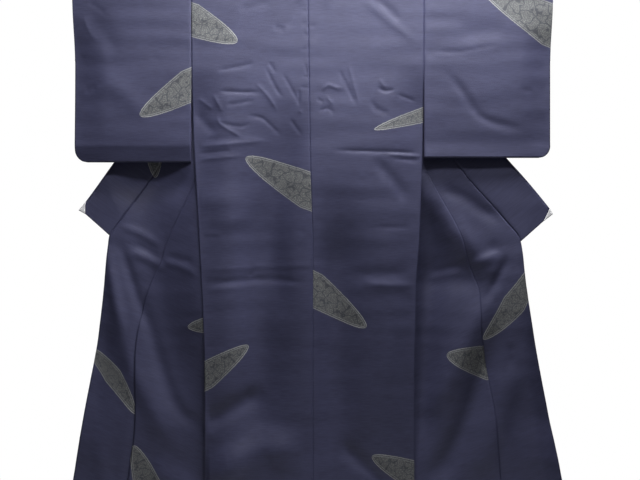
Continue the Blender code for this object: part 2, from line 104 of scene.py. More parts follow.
# How the cloth hangs: half depth of each layer from the pole's plane
hang = {
    "columns": ("drop", "back", "side", "flap", "sleeve"),
    "rows": (
        (0, 1.7, 1.7, 2, 1.7),
        (8, 1.7, 1.68, 2.08, 1.68),
        (21.4, 1.62, 1.45, 2.05, 1.45),
        (36, 1.52, 0.06, 1.8, 0.95),
        (47.5, 1.42, 0.06, 1.75, 0.4),
        (70, 1.25, 0.06, 1.65, 0.4),
        (95, 1.1, 0.06, 1.35, 0.4),
        (160, 0.95, 0.06, 1, 0.4),
    ),
}


# Cloth that rises towards the viewer (height above 0) or sinks away. Each fold is a row: its reach to
# either side, its height, then the way that it takes as (x, drop). It fades over a share of its way at
# both ends, and it is crisp where its reach is short.
foldShape = {"pathStep": 0.25, "fadeShare": 0.3, "least": 0.12, "crispReach": 0.6, "crisp": 1.2, "soft": 2.0}


# A smooth way through the given points
def foldPath(points):
    ways = [np.array(point) for point in points]
    ways = [2 * ways[0] - ways[1]] + ways + [2 * ways[-1] - ways[-2]]
    path = []
    for before, start, end, after in zip(ways, ways[1:], ways[2:], ways[3:]):
        squared = 2 * before - 5 * start + 4 * end - after
        cubed = 3 * start - before - 3 * end + after
        for t in np.arange(0.0, 1.0, foldShape["pathStep"]):
            path.append(0.5 * (2 * start + (end - before) * t + squared * t ** 2 + cubed * t ** 3))
    return path + [ways[-2]]


def foldLift(folds, x, drop):
    lift = np.zeros_like(x)
    for reach, height, *points in folds:
        path = foldPath(points)
        lengths = [hypot(*(after - before)) for before, after in zip(path, path[1:])]
        nearest, share, run = np.full_like(x, 1e3), np.zeros_like(x), 0.0
        for start, end, length in zip(path, path[1:], lengths):
            wayX, wayDrop = (end - start) / length
            t = np.clip((x - start[0]) * wayX + (drop - start[1]) * wayDrop, 0.0, length)
            away = np.hypot(x - start[0] - t * wayX, drop - start[1] - t * wayDrop)
            share = np.where(away < nearest, (run + t) / sum(lengths), share)
            nearest = np.minimum(away, nearest)
            run += length
        fade = ease(np.minimum(share, 1 - share) / foldShape["fadeShare"] + foldShape["least"])
        power = foldShape["soft"] if reach > foldShape["crispReach"] else foldShape["crisp"]
        lift += height * np.exp(-(nearest / reach) ** power) * fade
    return lift


# Long shallow unevenness of hung silk
ripples = {
    "count": 26, "height": 0.006, "power": 0.7, "seed": 11, "alongX": (0.02, 0.22), "alongDrop": (0.35, 1.5),
}
rippleWays = np.random.default_rng(ripples["seed"])
rippleRows = [
    (rippleWays.uniform(*ripples["alongX"]),
     rippleWays.uniform(*ripples["alongDrop"]) * rippleWays.choice((-1, 1)),
     rippleWays.uniform(0, 2 * pi))
    for count in range(ripples["count"])]


def rippleLift(x, drop):
    lift = np.zeros_like(x)
    for alongX, alongDrop, start in rippleRows:
        wave = np.sin(alongX * x + alongDrop * drop + start)
        lift += ripples["height"] * wave / abs(alongDrop) ** ripples["power"]
    return lift


# The leaf figures: tip, root beyond the seam, half width and sideways bow
leafReach = 1.2  # farther than this from its outline a leaf leaves no mark
noLeaf = (-1.0, 2.0, 0.0)  # place along a leaf, place across it and its half width, where there is none


def leafField(leaves, x, drop):
    field = np.full(x.shape + (3,), noLeaf)
    nearest = np.full_like(x, 1e3)
    for tipX, tipDrop, rootX, rootDrop, half, bow in leaves:
        length = hypot(rootX - tipX, rootDrop - tipDrop)
        wayX, wayDrop = (rootX - tipX) / length, (rootDrop - tipDrop) / length
        share = ((x - tipX) * wayX + (drop - tipDrop) * wayDrop) / length
        across = (x - tipX) * -wayDrop + (drop - tipDrop) * wayX
        across = (across - bow * 4 * share * (1 - share)) / half
        away = np.abs(across) * half - half * np.clip(1 - np.abs(1 - 2 * share), 0, 1) ** 0.5
        away = np.maximum(away, np.maximum(-share, share - 1) * length)
        closer = away < nearest
        near = np.where(away < leafReach, half, 0.0)
        field[..., 0] = np.where(closer, share, field[..., 0])
        field[..., 1] = np.where(closer, across, field[..., 1])
        field[..., 2] = np.where(closer, near, field[..., 2])
        nearest = np.minimum(away, nearest)
    return field


# Where the lining is the darker facing: below these drops on the back and the fronts, and this far
# in from the sleeve's cuff and its open inner edge
facingAt = {"back": 98.0, "front": 74.0, "cuff": 9.0, "opening": 5.0}


# Materials: helpers first, then the woven silk, the leaf figure and the three finishes
def newGroup(name, inputs, outputs):
    group = bpy.data.node_groups.new(name, "ShaderNodeTree")
    for label, kind, value in inputs:
        socket = group.interface.new_socket(name=label, in_out="INPUT", socket_type="NodeSocket" + kind)
        if value is not None:
            socket.default_value = value
    for label in outputs:
        group.interface.new_socket(name=label, in_out="OUTPUT", socket_type="NodeSocketFloat")
    return group, group.nodes.new("NodeGroupInput"), group.nodes.new("NodeGroupOutput")


# Each input takes a value or another node's output
def addNode(tree, kind, settings, inputs):
    node = tree.nodes.new("ShaderNode" + kind)
    for name, value in settings.items():
        setattr(node, name, value)
    for name, value in inputs.items():
        if isinstance(value, bpy.types.NodeSocket):
            tree.links.new(value, node.inputs[name])
        else:
            node.inputs[name].default_value = value
    return node


def mathNode(tree, operation, *terms):
    return addNode(tree, "Math", {"operation": operation}, dict(enumerate(terms))).outputs[0]


def ramp(tree, value, low, high, bottom=0.0, top=1.0):
    limits = {"Value": value, "From Min": low, "From Max": high, "To Min": bottom, "To Max": top}
    return addNode(tree, "MapRange", {"interpolation_type": "SMOOTHSTEP"}, limits).outputs["Result"]


def mixColor(tree, share, *colors):
    first, second = ((*color, 1.0) if isinstance(color, tuple) else color for color in colors)
    return addNode(tree, "Mix", {"data_type": "RGBA"}, {"Factor": share, 6: first, 7: second}).outputs[2]


def noiseNode(tree, place, scale, detail, roughness=0.5, distortion=0.0, solid=False):
    values = {
        "Vector": place, "Scale": scale, "Detail": detail, "Roughness": roughness, "Distortion": distortion,
    }
    return addNode(tree, "TexNoise", {"noise_dimensions": "3D" if solid else "2D"}, values)


def mapped(tree, place, scale, location=(0.0, 0.0, 0.0)):
    return addNode(tree, "Mapping", {}, {"Vector": place, "Scale": scale, "Location": location}).outputs[0]


# Handwoven silk: uneven weft threads across the cloth, fine ribs, cloudy dye
weave = {
    "threads": 1500.0, "slubs": (34.0, 420.0, 1.0), "slubNoise": (1.0, 3.0, 0.6), "slubTone": 0.9,
    "slubHeight": 0.9, "bands": (7.0, 70.0, 1.0), "bandsFrom": (3.1, 7.7, 0.0), "bandNoise": (1.0, 2.0),
    "bandTone": 0.28, "cloudNoise": (7.0, 3.0), "cloudTone": 0.4, "ribTone": 0.06, "ribHeight": 0.25,
}


def makeWeave():
    group, given, out = newGroup(
        "silkWeave",
        (("Cloth", "Vector", None), ("Threads", "Float", weave["threads"]), ("Slubs", "Float", 1.0)),
        ("Tone", "Height"))
    calc = partial(mathNode, group)
    place = given.outputs["Cloth"]
    slub = noiseNode(group, mapped(group, place, weave["slubs"]), *weave["slubNoise"])
    band = noiseNode(group, mapped(group, place, weave["bands"], weave["bandsFrom"]), *weave["bandNoise"])
    cloud = noiseNode(group, place, *weave["cloudNoise"])
    threads = addNode(group, "VectorMath", {"operation": "SCALE"},
                      {0: place, "Scale": given.outputs["Threads"]})
    warp, weft = addNode(group, "SeparateXYZ", {}, {0: threads.outputs[0]}).outputs[:2]
    weft, warp = (calc("SINE", calc("MULTIPLY", thread, 2 * pi)) for thread in (weft, warp))
    rib = calc("MULTIPLY_ADD", calc("MULTIPLY", weft, warp), 0.5, 0.5)
    slubs = calc("MULTIPLY", calc("SUBTRACT", slub.outputs[0], 0.5), given.outputs["Slubs"])
    tone = calc("MULTIPLY_ADD", slubs, weave["slubTone"], 0.5)
    for noise, share in ((band, weave["bandTone"]), (cloud, weave["cloudTone"])):
        tone = calc("ADD", tone, calc("MULTIPLY", calc("SUBTRACT", noise.outputs[0], 0.5), share))
    height = calc("MULTIPLY_ADD", rib, weave["ribHeight"], calc("MULTIPLY", slubs, weave["slubHeight"]))
    group.links.new(calc("MULTIPLY_ADD", rib, weave["ribTone"], tone), out.inputs["Tone"])
    group.links.new(height, out.inputs["Height"])
    return group


# One leaf: pale outline, a second line inside it, and cells that dark lines part. Distances from the
# outline are centimetres, scales are per metre of cloth or per leaf. Each fade goes from one place to
# another, with its value before and after.
leafLook = {
    "edge": (0.0, 0.06), "beyondEnds": 40.0, "leastHalf": 0.3, "far": 25.0, "wobbleNoise": (160.0, 1.0),
    "wobble": 0.16, "rim": 0.25, "rimFade": (-0.03, 0.06, 1.0, 0.0),
    "second": 0.62, "secondFade": (0.06, 0.15, 0.55, 0.0), "gap": 0.40, "gapFade": (0.05, 0.12, 0.8, 0.0),
    "endFade": (0.05, 0.7, 1.0, 0.5), "wornNoise": (420.0, 1.0), "wornFade": (0.3, 0.6, 0.55, 1.0),
    "grainNoise": (380.0, 2.0, 0.7), "grainFade": (0.42, 0.6, 0.75, 0.0),
    "cellsAlong": 13.0, "cellsAcross": 1.9, "cellNoise": (0.9, 2.0), "cellBend": 1.5,
    "cells": {"Scale": 0.9, "Randomness": 0.8}, "cellFade": (0.02, 0.11, 0.9, 0.0),
    "curls": {"Scale": 1.3, "Distortion": 9.0, "Detail": 2.0, "Detail Scale": 1.6},
    "curlFade": (0.1, 0.55, 0.55, 0.0),
}


def makeLeafFigure():
    group, given, out = newGroup(
        "leafFigure",
        (("Leaf", "Vector", None), ("Cloth", "Vector", None), ("Rim", "Float", leafLook["rim"])),
        ("Inside", "Outline", "Lines"))
    calc, blend, noise = (partial(make, group) for make in (mathNode, ramp, noiseNode))
    place = given.outputs["Cloth"]
    share, across, half = addNode(group, "SeparateXYZ", {}, {0: given.outputs["Leaf"]}).outputs
    fromEnds = calc("SUBTRACT", 1.0, calc("ABSOLUTE", calc("MULTIPLY_ADD", share, 2.0, -1.0)))
    width = calc("POWER", calc("MAXIMUM", fromEnds, 0.0), 0.5)
    inner = calc("MULTIPLY", calc("SUBTRACT", width, calc("ABSOLUTE", across)), half)
    inner = calc("ADD", inner, calc("MULTIPLY", calc("MINIMUM", fromEnds, 0.0), leafLook["beyondEnds"]))
    wobble = noise(place, *leafLook["wobbleNoise"]).outputs[0]
    inner = calc("ADD", inner, calc("MULTIPLY_ADD", wobble, leafLook["wobble"], -leafLook["wobble"] / 2))
    near = calc("GREATER_THAN", half, leafLook["leastHalf"])
    inner = calc("MINIMUM", inner, calc("MULTIPLY_ADD", near, 2 * leafLook["far"], -leafLook["far"]))
    inside = blend(inner, *leafLook["edge"])

    rim = blend(calc("SUBTRACT", inner, given.outputs["Rim"]), *leafLook["rimFade"])
    second = blend(calc("ABSOLUTE", calc("SUBTRACT", inner, leafLook["second"])), *leafLook["secondFade"])
    worn = noise(place, *leafLook["wornNoise"]).outputs[0]
    glow = calc("MULTIPLY", blend(fromEnds, *leafLook["endFade"]), blend(worn, *leafLook["wornFade"]))
    outline = calc("MULTIPLY", calc("MAXIMUM", calc("MULTIPLY", inside, rim), second), glow)

    cellX = calc("MULTIPLY", share, leafLook["cellsAlong"])
    cellY = calc("MULTIPLY", across, leafLook["cellsAcross"])
    cellPlace = addNode(group, "CombineXYZ", {}, {0: cellX, 1: cellY})
    bent = noise(cellPlace.outputs[0], *leafLook["cellNoise"]).outputs["Color"]
    shift = addNode(group, "VectorMath", {"operation": "SCALE"}, {0: bent, "Scale": leafLook["cellBend"]})
    moved = addNode(group, "VectorMath", {"operation": "ADD"}, {0: cellPlace.outputs[0], 1: shift.outputs[0]})
    cells = addNode(group, "TexVoronoi", {"voronoi_dimensions": "2D", "feature": "DISTANCE_TO_EDGE"},
                    {"Vector": moved.outputs[0], **leafLook["cells"]})
    curls = addNode(group, "TexWave", {"wave_type": "RINGS", "rings_direction": "SPHERICAL"},
                    {"Vector": moved.outputs[0], **leafLook["curls"]})
    grain = noise(place, *leafLook["grainNoise"]).outputs[0]
    gap = calc("ABSOLUTE", calc("SUBTRACT", inner, leafLook["gap"]))
    lines = blend(cells.outputs["Distance"], *leafLook["cellFade"])
    for mark, fade in ((curls.outputs["Fac"], "curlFade"), (gap, "gapFade"), (grain, "grainFade")):
        lines = calc("MAXIMUM", lines, blend(mark, *leafLook[fade]))
    for label, value in (("Inside", inside), ("Outline", outline), ("Lines", lines)):
        group.links.new(value, out.inputs[label])
    return group


silkWeave = makeWeave()
leafFigure = makeLeafFigure()


def newMaterial(name, roughness):
    material = bpy.data.materials.new(name)
    material.use_nodes = True
    shader = material.node_tree.nodes["Principled BSDF"]
    shader.inputs["Roughness"].default_value = roughness
    return material, material.node_tree, shader


def setSurface(tree, shader, color, height, bump):
    tree.links.new(color, shader.inputs["Base Color"])
    strength, distance = bump
    raised = addNode(tree, "Bump", {}, {"Strength": strength, "Distance": distance, "Height": height})
    tree.links.new(raised.outputs[0], shader.inputs["Normal"])


silk = {
    "deep": (0.028, 0.029, 0.063), "light": (0.044, 0.046, 0.095),
    "leaf": (0.150, 0.155, 0.152), "leafLine": (0.034, 0.036, 0.048), "leafRim": (0.29, 0.295, 0.30),
    "roughness": 0.58, "specular": 0.3, "bump": (0.35, 0.0006),
}
toneSpan = (0.1, 0.9)  # the part of the weave's tone that goes from deep to light


def makeSilk():
    material, tree, shader = newMaterial("navySilk", silk["roughness"])
    shader.inputs["Specular IOR Level"].default_value = silk["specular"]
    place = addNode(tree, "UVMap", {"uv_map": "cloth"}, {}).outputs[0]
    leafMap = addNode(tree, "Attribute", {"attribute_name": "leaf"}, {}).outputs["Vector"]
    woven = addNode(tree, "Group", {"node_tree": silkWeave}, {"Cloth": place}).outputs
    figure = addNode(tree, "Group", {"node_tree": leafFigure}, {"Cloth": place, "Leaf": leafMap}).outputs
    ground = mixColor(tree, ramp(tree, woven["Tone"], *toneSpan), silk["deep"], silk["light"])
    fill = mixColor(tree, figure["Lines"], silk["leaf"], silk["leafLine"])
    color = mixColor(tree, figure["Inside"], ground, fill)
    color = mixColor(tree, figure["Outline"], color, silk["leafRim"])
    setSurface(tree, shader, color, woven["Height"], silk["bump"])
    return material


lining = {
    "deep": (0.56, 0.56, 0.58), "light": (0.68, 0.68, 0.70), "roughness": 0.5, "bump": (0.2, 0.0004),
    "facingDeep": (0.040, 0.036, 0.085), "facingLight": (0.060, 0.054, 0.120), "facingBlur": 0.05,
    "slubs": 0.35, "threads": 2100.0,
}


def makeLining():
    material, tree, shader = newMaterial("paleLining", lining["roughness"])
    place = addNode(tree, "UVMap", {"uv_map": "cloth"}, {}).outputs[0]
    woven = addNode(tree, "Group", {"node_tree": silkWeave},
                    {"Cloth": place, "Slubs": lining["slubs"], "Threads": lining["threads"]}).outputs
    tone = ramp(tree, woven["Tone"], *toneSpan)
    pale = mixColor(tree, tone, lining["deep"], lining["light"])
    dark = mixColor(tree, tone, lining["facingDeep"], lining["facingLight"])
    trim = addNode(tree, "Attribute", {"attribute_name": "facing"}, {}).outputs["Fac"]
    color = mixColor(tree, ramp(tree, trim, 0.0, lining["facingBlur"]), pale, dark)
    setSurface(tree, shader, color, woven["Height"], lining["bump"])
    return material


poleWood = {
    "deep": (0.34, 0.21, 0.11), "light": (0.56, 0.39, 0.23), "roughness": 0.45, "bump": (0.2, 0.0005),
    "stretch": (1.6, 60.0, 60.0), "grain": (1.6, 6.0, 0.62, 0.6), "toneSpan": (0.32, 0.68),
    "roughSpan": (0.3, 0.7, 0.58, 0.38),
}


def makePoleWood():
    material, tree, shader = newMaterial("poleWood", poleWood["roughness"])
    place = addNode(tree, "TexCoord", {}, {}).outputs["Object"]
    place = mapped(tree, place, poleWood["stretch"])
    grain = noiseNode(tree, place, *poleWood["grain"], solid=True).outputs[0]
    color = mixColor(tree, ramp(tree, grain, *poleWood["toneSpan"]), poleWood["deep"], poleWood["light"])
    tree.links.new(ramp(tree, grain, *poleWood["roughSpan"]), shader.inputs["Roughness"])
    setSurface(tree, shader, color, grain, poleWood["bump"])
    return material


navySilk, paleLining, woodFinish = makeSilk(), makeLining(), makePoleWood()
print("materials made")


def meshFrom(sheet, name):
    mesh = bpy.data.meshes.new(name)
    sheet.to_mesh(mesh)
    sheet.free()
    return mesh


def addObject(name, data):
    thing = bpy.data.objects.new(name, data)
    bpy.context.scene.collection.objects.link(thing)
    return thing


# A sheet of cloth from a grid: points, lengths of cloth, leaf figures and facing by level and station
def sheetMesh(name, points, lengths, field, facing, kept=None, turned=False):
    levels, stations = points.shape[:2]
    sheet = bmesh.new()
    bmesh.ops.create_grid(sheet, x_segments=stations - 1, y_segments=levels - 1, size=0.5)
    if kept is not None:
        middles = ((face, face.calc_center_median()) for face in sheet.faces)
        gone = [face for face, middle in middles
                if not kept(int((middle.x + 0.5) * (stations - 1)), int((middle.y + 0.5) * (levels - 1)))]
        bmesh.ops.delete(sheet, geom=gone, context="FACES")
    if turned:
        bmesh.ops.reverse_faces(sheet, faces=sheet.faces[:])
    mesh = meshFrom(sheet, name)
    flat = np.zeros(len(mesh.vertices) * 3)
    mesh.vertices.foreach_get("co", flat)
    flat = flat.reshape(-1, 3)
    station = np.rint((flat[:, 0] + 0.5) * (stations - 1)).astype(int)
    level = np.rint((flat[:, 1] + 0.5) * (levels - 1)).astype(int)
    mesh.vertices.foreach_set("co", (points[level, station] * cm).ravel())
    leaf = mesh.attributes.new("leaf", "FLOAT_VECTOR", "POINT")
    leaf.data.foreach_set("vector", field[level, station].ravel())
    trim = mesh.attributes.new("facing", "FLOAT", "POINT")
    trim.data.foreach_set("value", facing[level, station].ravel())
    corner = np.zeros(len(mesh.loops), dtype=int)
    mesh.loops.foreach_get("vertex_index", corner)
    clothMap = mesh.uv_layers.new(name="cloth")
    clothMap.data.foreach_set("uv", (lengths[level, station] * cm)[corner].ravel())
    mesh.polygons.foreach_set("use_smooth", [True] * len(mesh.polygons))
    return mesh


def addSheet(name, mesh, outer=None):
    mesh.materials.append(outer or navySilk)
    mesh.materials.append(paleLining)
    piece = addObject(name, mesh)
    wall = piece.modifiers.new("wall", "SOLIDIFY")
    wall.thickness = cloth["thickness"] * cm
    wall.offset = 0.0
    wall.material_offset = 1
    wall.material_offset_rim = 0
    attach(piece, "root")
    return piece


# Cloth dips a little where it folds over a seam, and the panel underneath runs on below it
def seamDip(away):
    return cloth["seamGroove"] * np.exp(-(away / cloth["seamReach"]) ** 2)


def seamUnder(away):
    return cloth["under"] * (1 - ease((away + cloth["tuck"]) / cloth["underReach"]))


# The body: each half in one length of cloth from the back hem over the pole to the front hem
body = {
    "hem": 160.0, "armhole": 21.4, "frontWidth": 24.0, "shoulderWidth": 23.0, "leastTurn": 1.1,
    "turn": 0.30, "bend": 0.15, "closeIn": 10.0, "poleBeside": 1.70, "poleOver": 1.52, "overPole": 5.1,
    "neckHalf": 8.5, "neckBack": 6.2, "neckDip": 0.8, "dipEnd": 6.0, "neckCurve": 0.7, "neckCrease": 10.0,
    "rollEnd": 16.5, "layerGap": 0.16, "armGroove": 0.8, "centreGap": 0.01,
    "edgeFree": 1.6, "topFree": 3.0, "creaseFree": 1.5,  # where folds start, beyond what holds the cloth
    "alignOver": 5.0, "fanFrom": 60.0, "leafFrom": 0.5,
    # how much deeper a front's edge rolls down over the okumi in its upper part
    "seamRoll": {left: 4.5, right: 1.0}, "seamRollEnd": 62.0, "seamRollFade": 14.0,
    "arcSteps": 12, "neckStations": 20, "flapStations": 45, "turnStations": 4, "hiddenStations": 25,
    # levels, closer where folds are fine: a drop, and how far apart they lie from there on
    "backLevels": ((160.0, 1.6), (136.0, 0.8), (86.0, 0.6), (50.0, 0.34), (18.0, 0.5), (0.0, 0.0)),
    "frontLevels": ((0.0, 1.0), (21.4, 1.3), (46.0, 0.8), (146.0, 1.4), (160.0, 0.0)),
    "centre": {"columns": ("drop", "x"), "rows": ((0, -0.3), (44, 0.3), (77, 1.1), (160, 1.1))},
}

sideSeams = {
    left: {
        "columns": ("drop", "half"),
        "rows": ((0, 31.9), (30, 31.8), (69, 30), (91.5, 28.9), (105, 28.5), (160, 28.5)),
    },
    right: {
        "columns": ("drop", "half"),
        "rows": ((0, 31.2), (30, 31.2), (69, 30.1), (81, 29.3), (119, 28.7), (160, 28.9)),
    },
}

# Where each level of a front comes to lie: okumi seam, and the okumi's outer edge
frontColumns = ("drop", "seamX", "seamZ", "edgeX", "edgeZ")
fronts = {
    left: {
        "columns": frontColumns,
        "rows": (
            (21.4, 20, -18.4, 20.1, -18.3),
            (40, 25.8, -36.1, 30.6, -34.1),
            (59.1, 31.9, -53.8, 42.3, -49.5),
            (77.8, 39.9, -70.7, 53.2, -64.8),
            (82.4, 41.2, -75.1, 55.4, -67.8),
            (86.9, 43.3, -79.2, 56, -73.2),
            (95.6, 46.1, -87.4, 56.8, -82.3),
            (109.7, 48.1, -101.3, 58.5, -96.2),
            (126.4, 47.9, -118, 61.3, -112.8),
            (143.2, 49.7, -134.6, 63.9, -129.5),
            (160, 51.5, -151.6, 66.6, -146.6),
        ),
    },
    right: {
        "columns": frontColumns,
        "rows": (
            (21.4, 20.3, -18.2, 20.4, -18.1),
            (53.4, 31.4, -48.1, 38.6, -45.5),
            (60.1, 34.5, -54.3, 42.8, -51.1),
            (76.4, 41.9, -68.6, 53.9, -63.9),
            (82.4, 43.5, -74.3, 57.9, -69.5),
            (93.3, 47, -84.7, 59.1, -80.4),
            (101.2, 47.3, -92.6, 60.2, -88.2),
            (116.4, 49.3, -107.6, 62.8, -103.2),
            (125.6, 50.8, -116.6, 64.6, -112.2),
            (143.6, 52.3, -134.6, 68, -129.9),
            (160, 53.2, -151, 71, -146.2),
        ),
    },
}

# Folds of the back, with x to the viewer's right of the centre seam
backFolds = (
    # between the shoulder blades, left of the seam
    (0.41, -0.138, (-10.8, 20.8), (-9, 23.7)),
    (0.41, -0.163, (-11.7, 22.4), (-8.5, 28.7), (-6.8, 30.4)),
    (0.41, -0.136, (-7.2, 23.7), (-3.5, 30.4), (-2.7, 32.8)),
    (0.46, 0.146, (-14.5, 26.4), (-10.9, 30.4), (-8.5, 34.2)),
    (0.46, -0.238, (-24.8, 28.7), (-20, 28.9), (-13.1, 29.1)),
    (0.46, -0.146, (-22.9, 32.5), (-18.8, 32), (-14.7, 30.9)),
    (0.46, -0.163, (-16.9, 35.5), (-12.6, 36.1), (-7.6, 40.7)),
    (0.51, -0.163, (-25.2, 23), (-21.8, 22.6), (-14.5, 21)),
    (0.55, 0.146, (-30.3, 30.4), (-26, 33.6)),
    (0.51, 0.162, (-26, 29.5), (-23.5, 34.4)),
    (1.1, -0.11, (-1.9, 3.6), (-4.4, 9.1), (-6.4, 12.3)),
    (0.8, -0.08, (-9.8, 11), (-6.4, 12.3)),
    (1.2, -0.11, (-19.4, 6.9), (-10.1, 4.4)),
    (0.41, -0.162, (-5.2, 36.1), (-1.9, 40.7)),
    (0.36, -0.138, (-1, 21.1), (-0.5, 24.5)),
    (0.37, -0.138, (-2.7, 28.2), (-2.7, 32.8)),
    (0.41, 0.138, (-2.6, 34), (-1.9, 34.6)),
    (1, -0.12, (-29.8, 41.8), (-24, 41.6), (-17.7, 41.3)),
    (0.55, 0.163, (-30.6, 43.7), (-21, 43), (-11.5, 42)),
    (0.46, -0.162, (-30.6, 45.6), (-21, 44.8)),
    (0.51, 0.162, (-30.3, 47.3), (-18, 46.2)),
    (1.4, -0.2, (-31, 34.4), (-25.1, 40.7)),
    (0.46, 0.163, (-25.1, 35), (-24, 37.7), (-18, 41.3)),
    (0.41, -0.138, (-24.6, 37.2), (-18.8, 38.3), (-15.6, 37.2)),
    # at the seam, where its stitches pull
    (0.37, -0.08, (-1.9, 7.1), (-0.2, 7.3)),
    (0.37, -0.08, (-2.1, 10.3), (-0.2, 10.4)),
    (0.37, -0.092, (-1.7, 13.4), (0.2, 13.6)),
    (0.37, -0.08, (-2.2, 17.4), (0.6, 17.2)),
    (0.37, -0.092, (-1.9, 24.6), (0.3, 24.9)),
    (0.37, -0.092, (-2.4, 27.6), (0.3, 27.8)),
    (0.37, -0.08, (0.2, 11.1), (1.8, 11)),
    # lower left
    (0.46, 0.116, (-29.5, 67.1), (-23.5, 67.5)),
    (0.55, 0.138, (-29.6, 77.3), (-15, 76.6), (0, 76), (6, 76.2)),
    (0.9, -0.24, (-29.5, 80.9), (-10.9, 80), (0.8, 80.9)),
    (0.55, 0.146, (-28.9, 82.8), (-16.9, 82.2)),
    (0.46, -0.162, (-16.9, 79.2), (-13.9, 76.8)),
    (0.7, -0.04, (-4.2, 61.5), (-0.5, 62.4)),
    (0.7, -0.045, (-4.6, 66), (-0.8, 67)),
    (0.7, -0.045, (-3.8, 70.5), (-0.6, 71.2)),
    (0.7, -0.045, (1.4, 63.6), (4.8, 64.2)),
    (0.7, -0.045, (1.2, 68.8), (5.2, 70)),
    (0.7, -0.045, (1.2, 74), (4.4, 74.4)),
    (5, 0.35, (-31, 58), (-24, 59.5), (-17, 66)),
    (6, -1.5, (-14, 44), (-14.5, 66), (-14, 95), (-16, 135)),
    (4.5, -1, (8, 62), (9, 84), (9, 124)),
    (4.5, 1.5, (-31, 138), (-24, 132.5), (-18, 128.5), (-11, 125.5), (-1, 128)),
    (2.6, -0.9, (-29.4, 120), (-20.5, 115), (-12, 110.5)),
    (9, 1.3, (-28, 135), (-14, 134), (6, 142)),
    (7, -1.5, (-6, 28), (-10, 48), (-9, 80), (-9, 130)),
    (3.6, -0.8, (-3.5, 31), (-4.8, 42), (-8, 56), (-9.5, 72), (-7, 92)),
    (6, -1.3, (-15, 56), (-15, 76), (-15, 110), (-16, 150)),
    (4, 0.25, (-18, 88), (-15.5, 112), (-13, 150)),
    (1.2, 0.1, (-12, 136), (-22, 141)),
    # right of the seam
    (1.3, -0.13, (5.2, 3.6), (3.5, 9.1), (1.1, 16.2)),
    (1.1, -0.17, (18.3, 3.6), (22.1, 6.9), (24.8, 9.9)),
    (1.1, 0.13, (14.5, 3.6), (24, 11.5), (29.2, 15.3)),
    (0.41, -0.155, (7.6, 22.7), (8.7, 24.1), (12.8, 32.5)),
    (0.41, 0.138, (10.6, 21.1), (13.6, 32.5)),
    (0.46, -0.201, (18.6, 27.6), (20.7, 28.7), (23.2, 28.2)),
    (0.41, 0.138, (19, 25.6), (20.9, 28)),
    (0.46, -0.182, (23.8, 29.5), (29.2, 31.4)),
    (0.8, -0.14, (16.7, 30.8), (18.3, 33.4), (22.1, 35)),
    (0.41, 0.15, (3.3, 28.7), (5.2, 27.1), (7.6, 27.9), (9.8, 27.9)),
    (0.41, -0.126, (2, 30.6), (4, 31.8)),
    (0.41, 0.116, (4.5, 30), (6.6, 32.4)),
    (0.41, -0.126, (2.4, 34.2), (5.2, 33.4), (6.9, 35)),
    (0.46, -0.238, (6.1, 44.7), (18, 45), (30.8, 45.4)),
    (0.41, 0.201, (20.5, 45.8), (31, 46.3)),
    (0.41, -0.155, (22.9, 47.1), (31, 47.5)),
    (1.7, -0.3, (17.7, 46.6), (20.5, 50.3), (24, 54.1), (26.7, 58.8)),
    (8, -2.1, (6, 52), (8, 74), (9, 110), (12, 146)),
    (3.5, -0.9, (4.5, 66), (5.5, 84), (5.5, 108), (6, 132)),
    (0.41, -0.146, (17.7, 65.6), (28.4, 65.8)),
    (0.8, 0.2, (14.3, 81.1), (29.2, 81.5)),
    (1.6, -0.3, (10, 78), (28, 78.4)),
    (0.8, -0.08, (15, 83.5), (28, 84)),
    (1.2, -0.12, (1.9, 96.7), (3.3, 103.5)),
    (2.2, -0.85, (8.6, 124.5), (15, 130.5), (23.1, 136.5)),
    (3, 0.25, (21, 66), (22.5, 92), (19, 118)),
    (4, 0.25, (14, 100), (17, 150)),
)

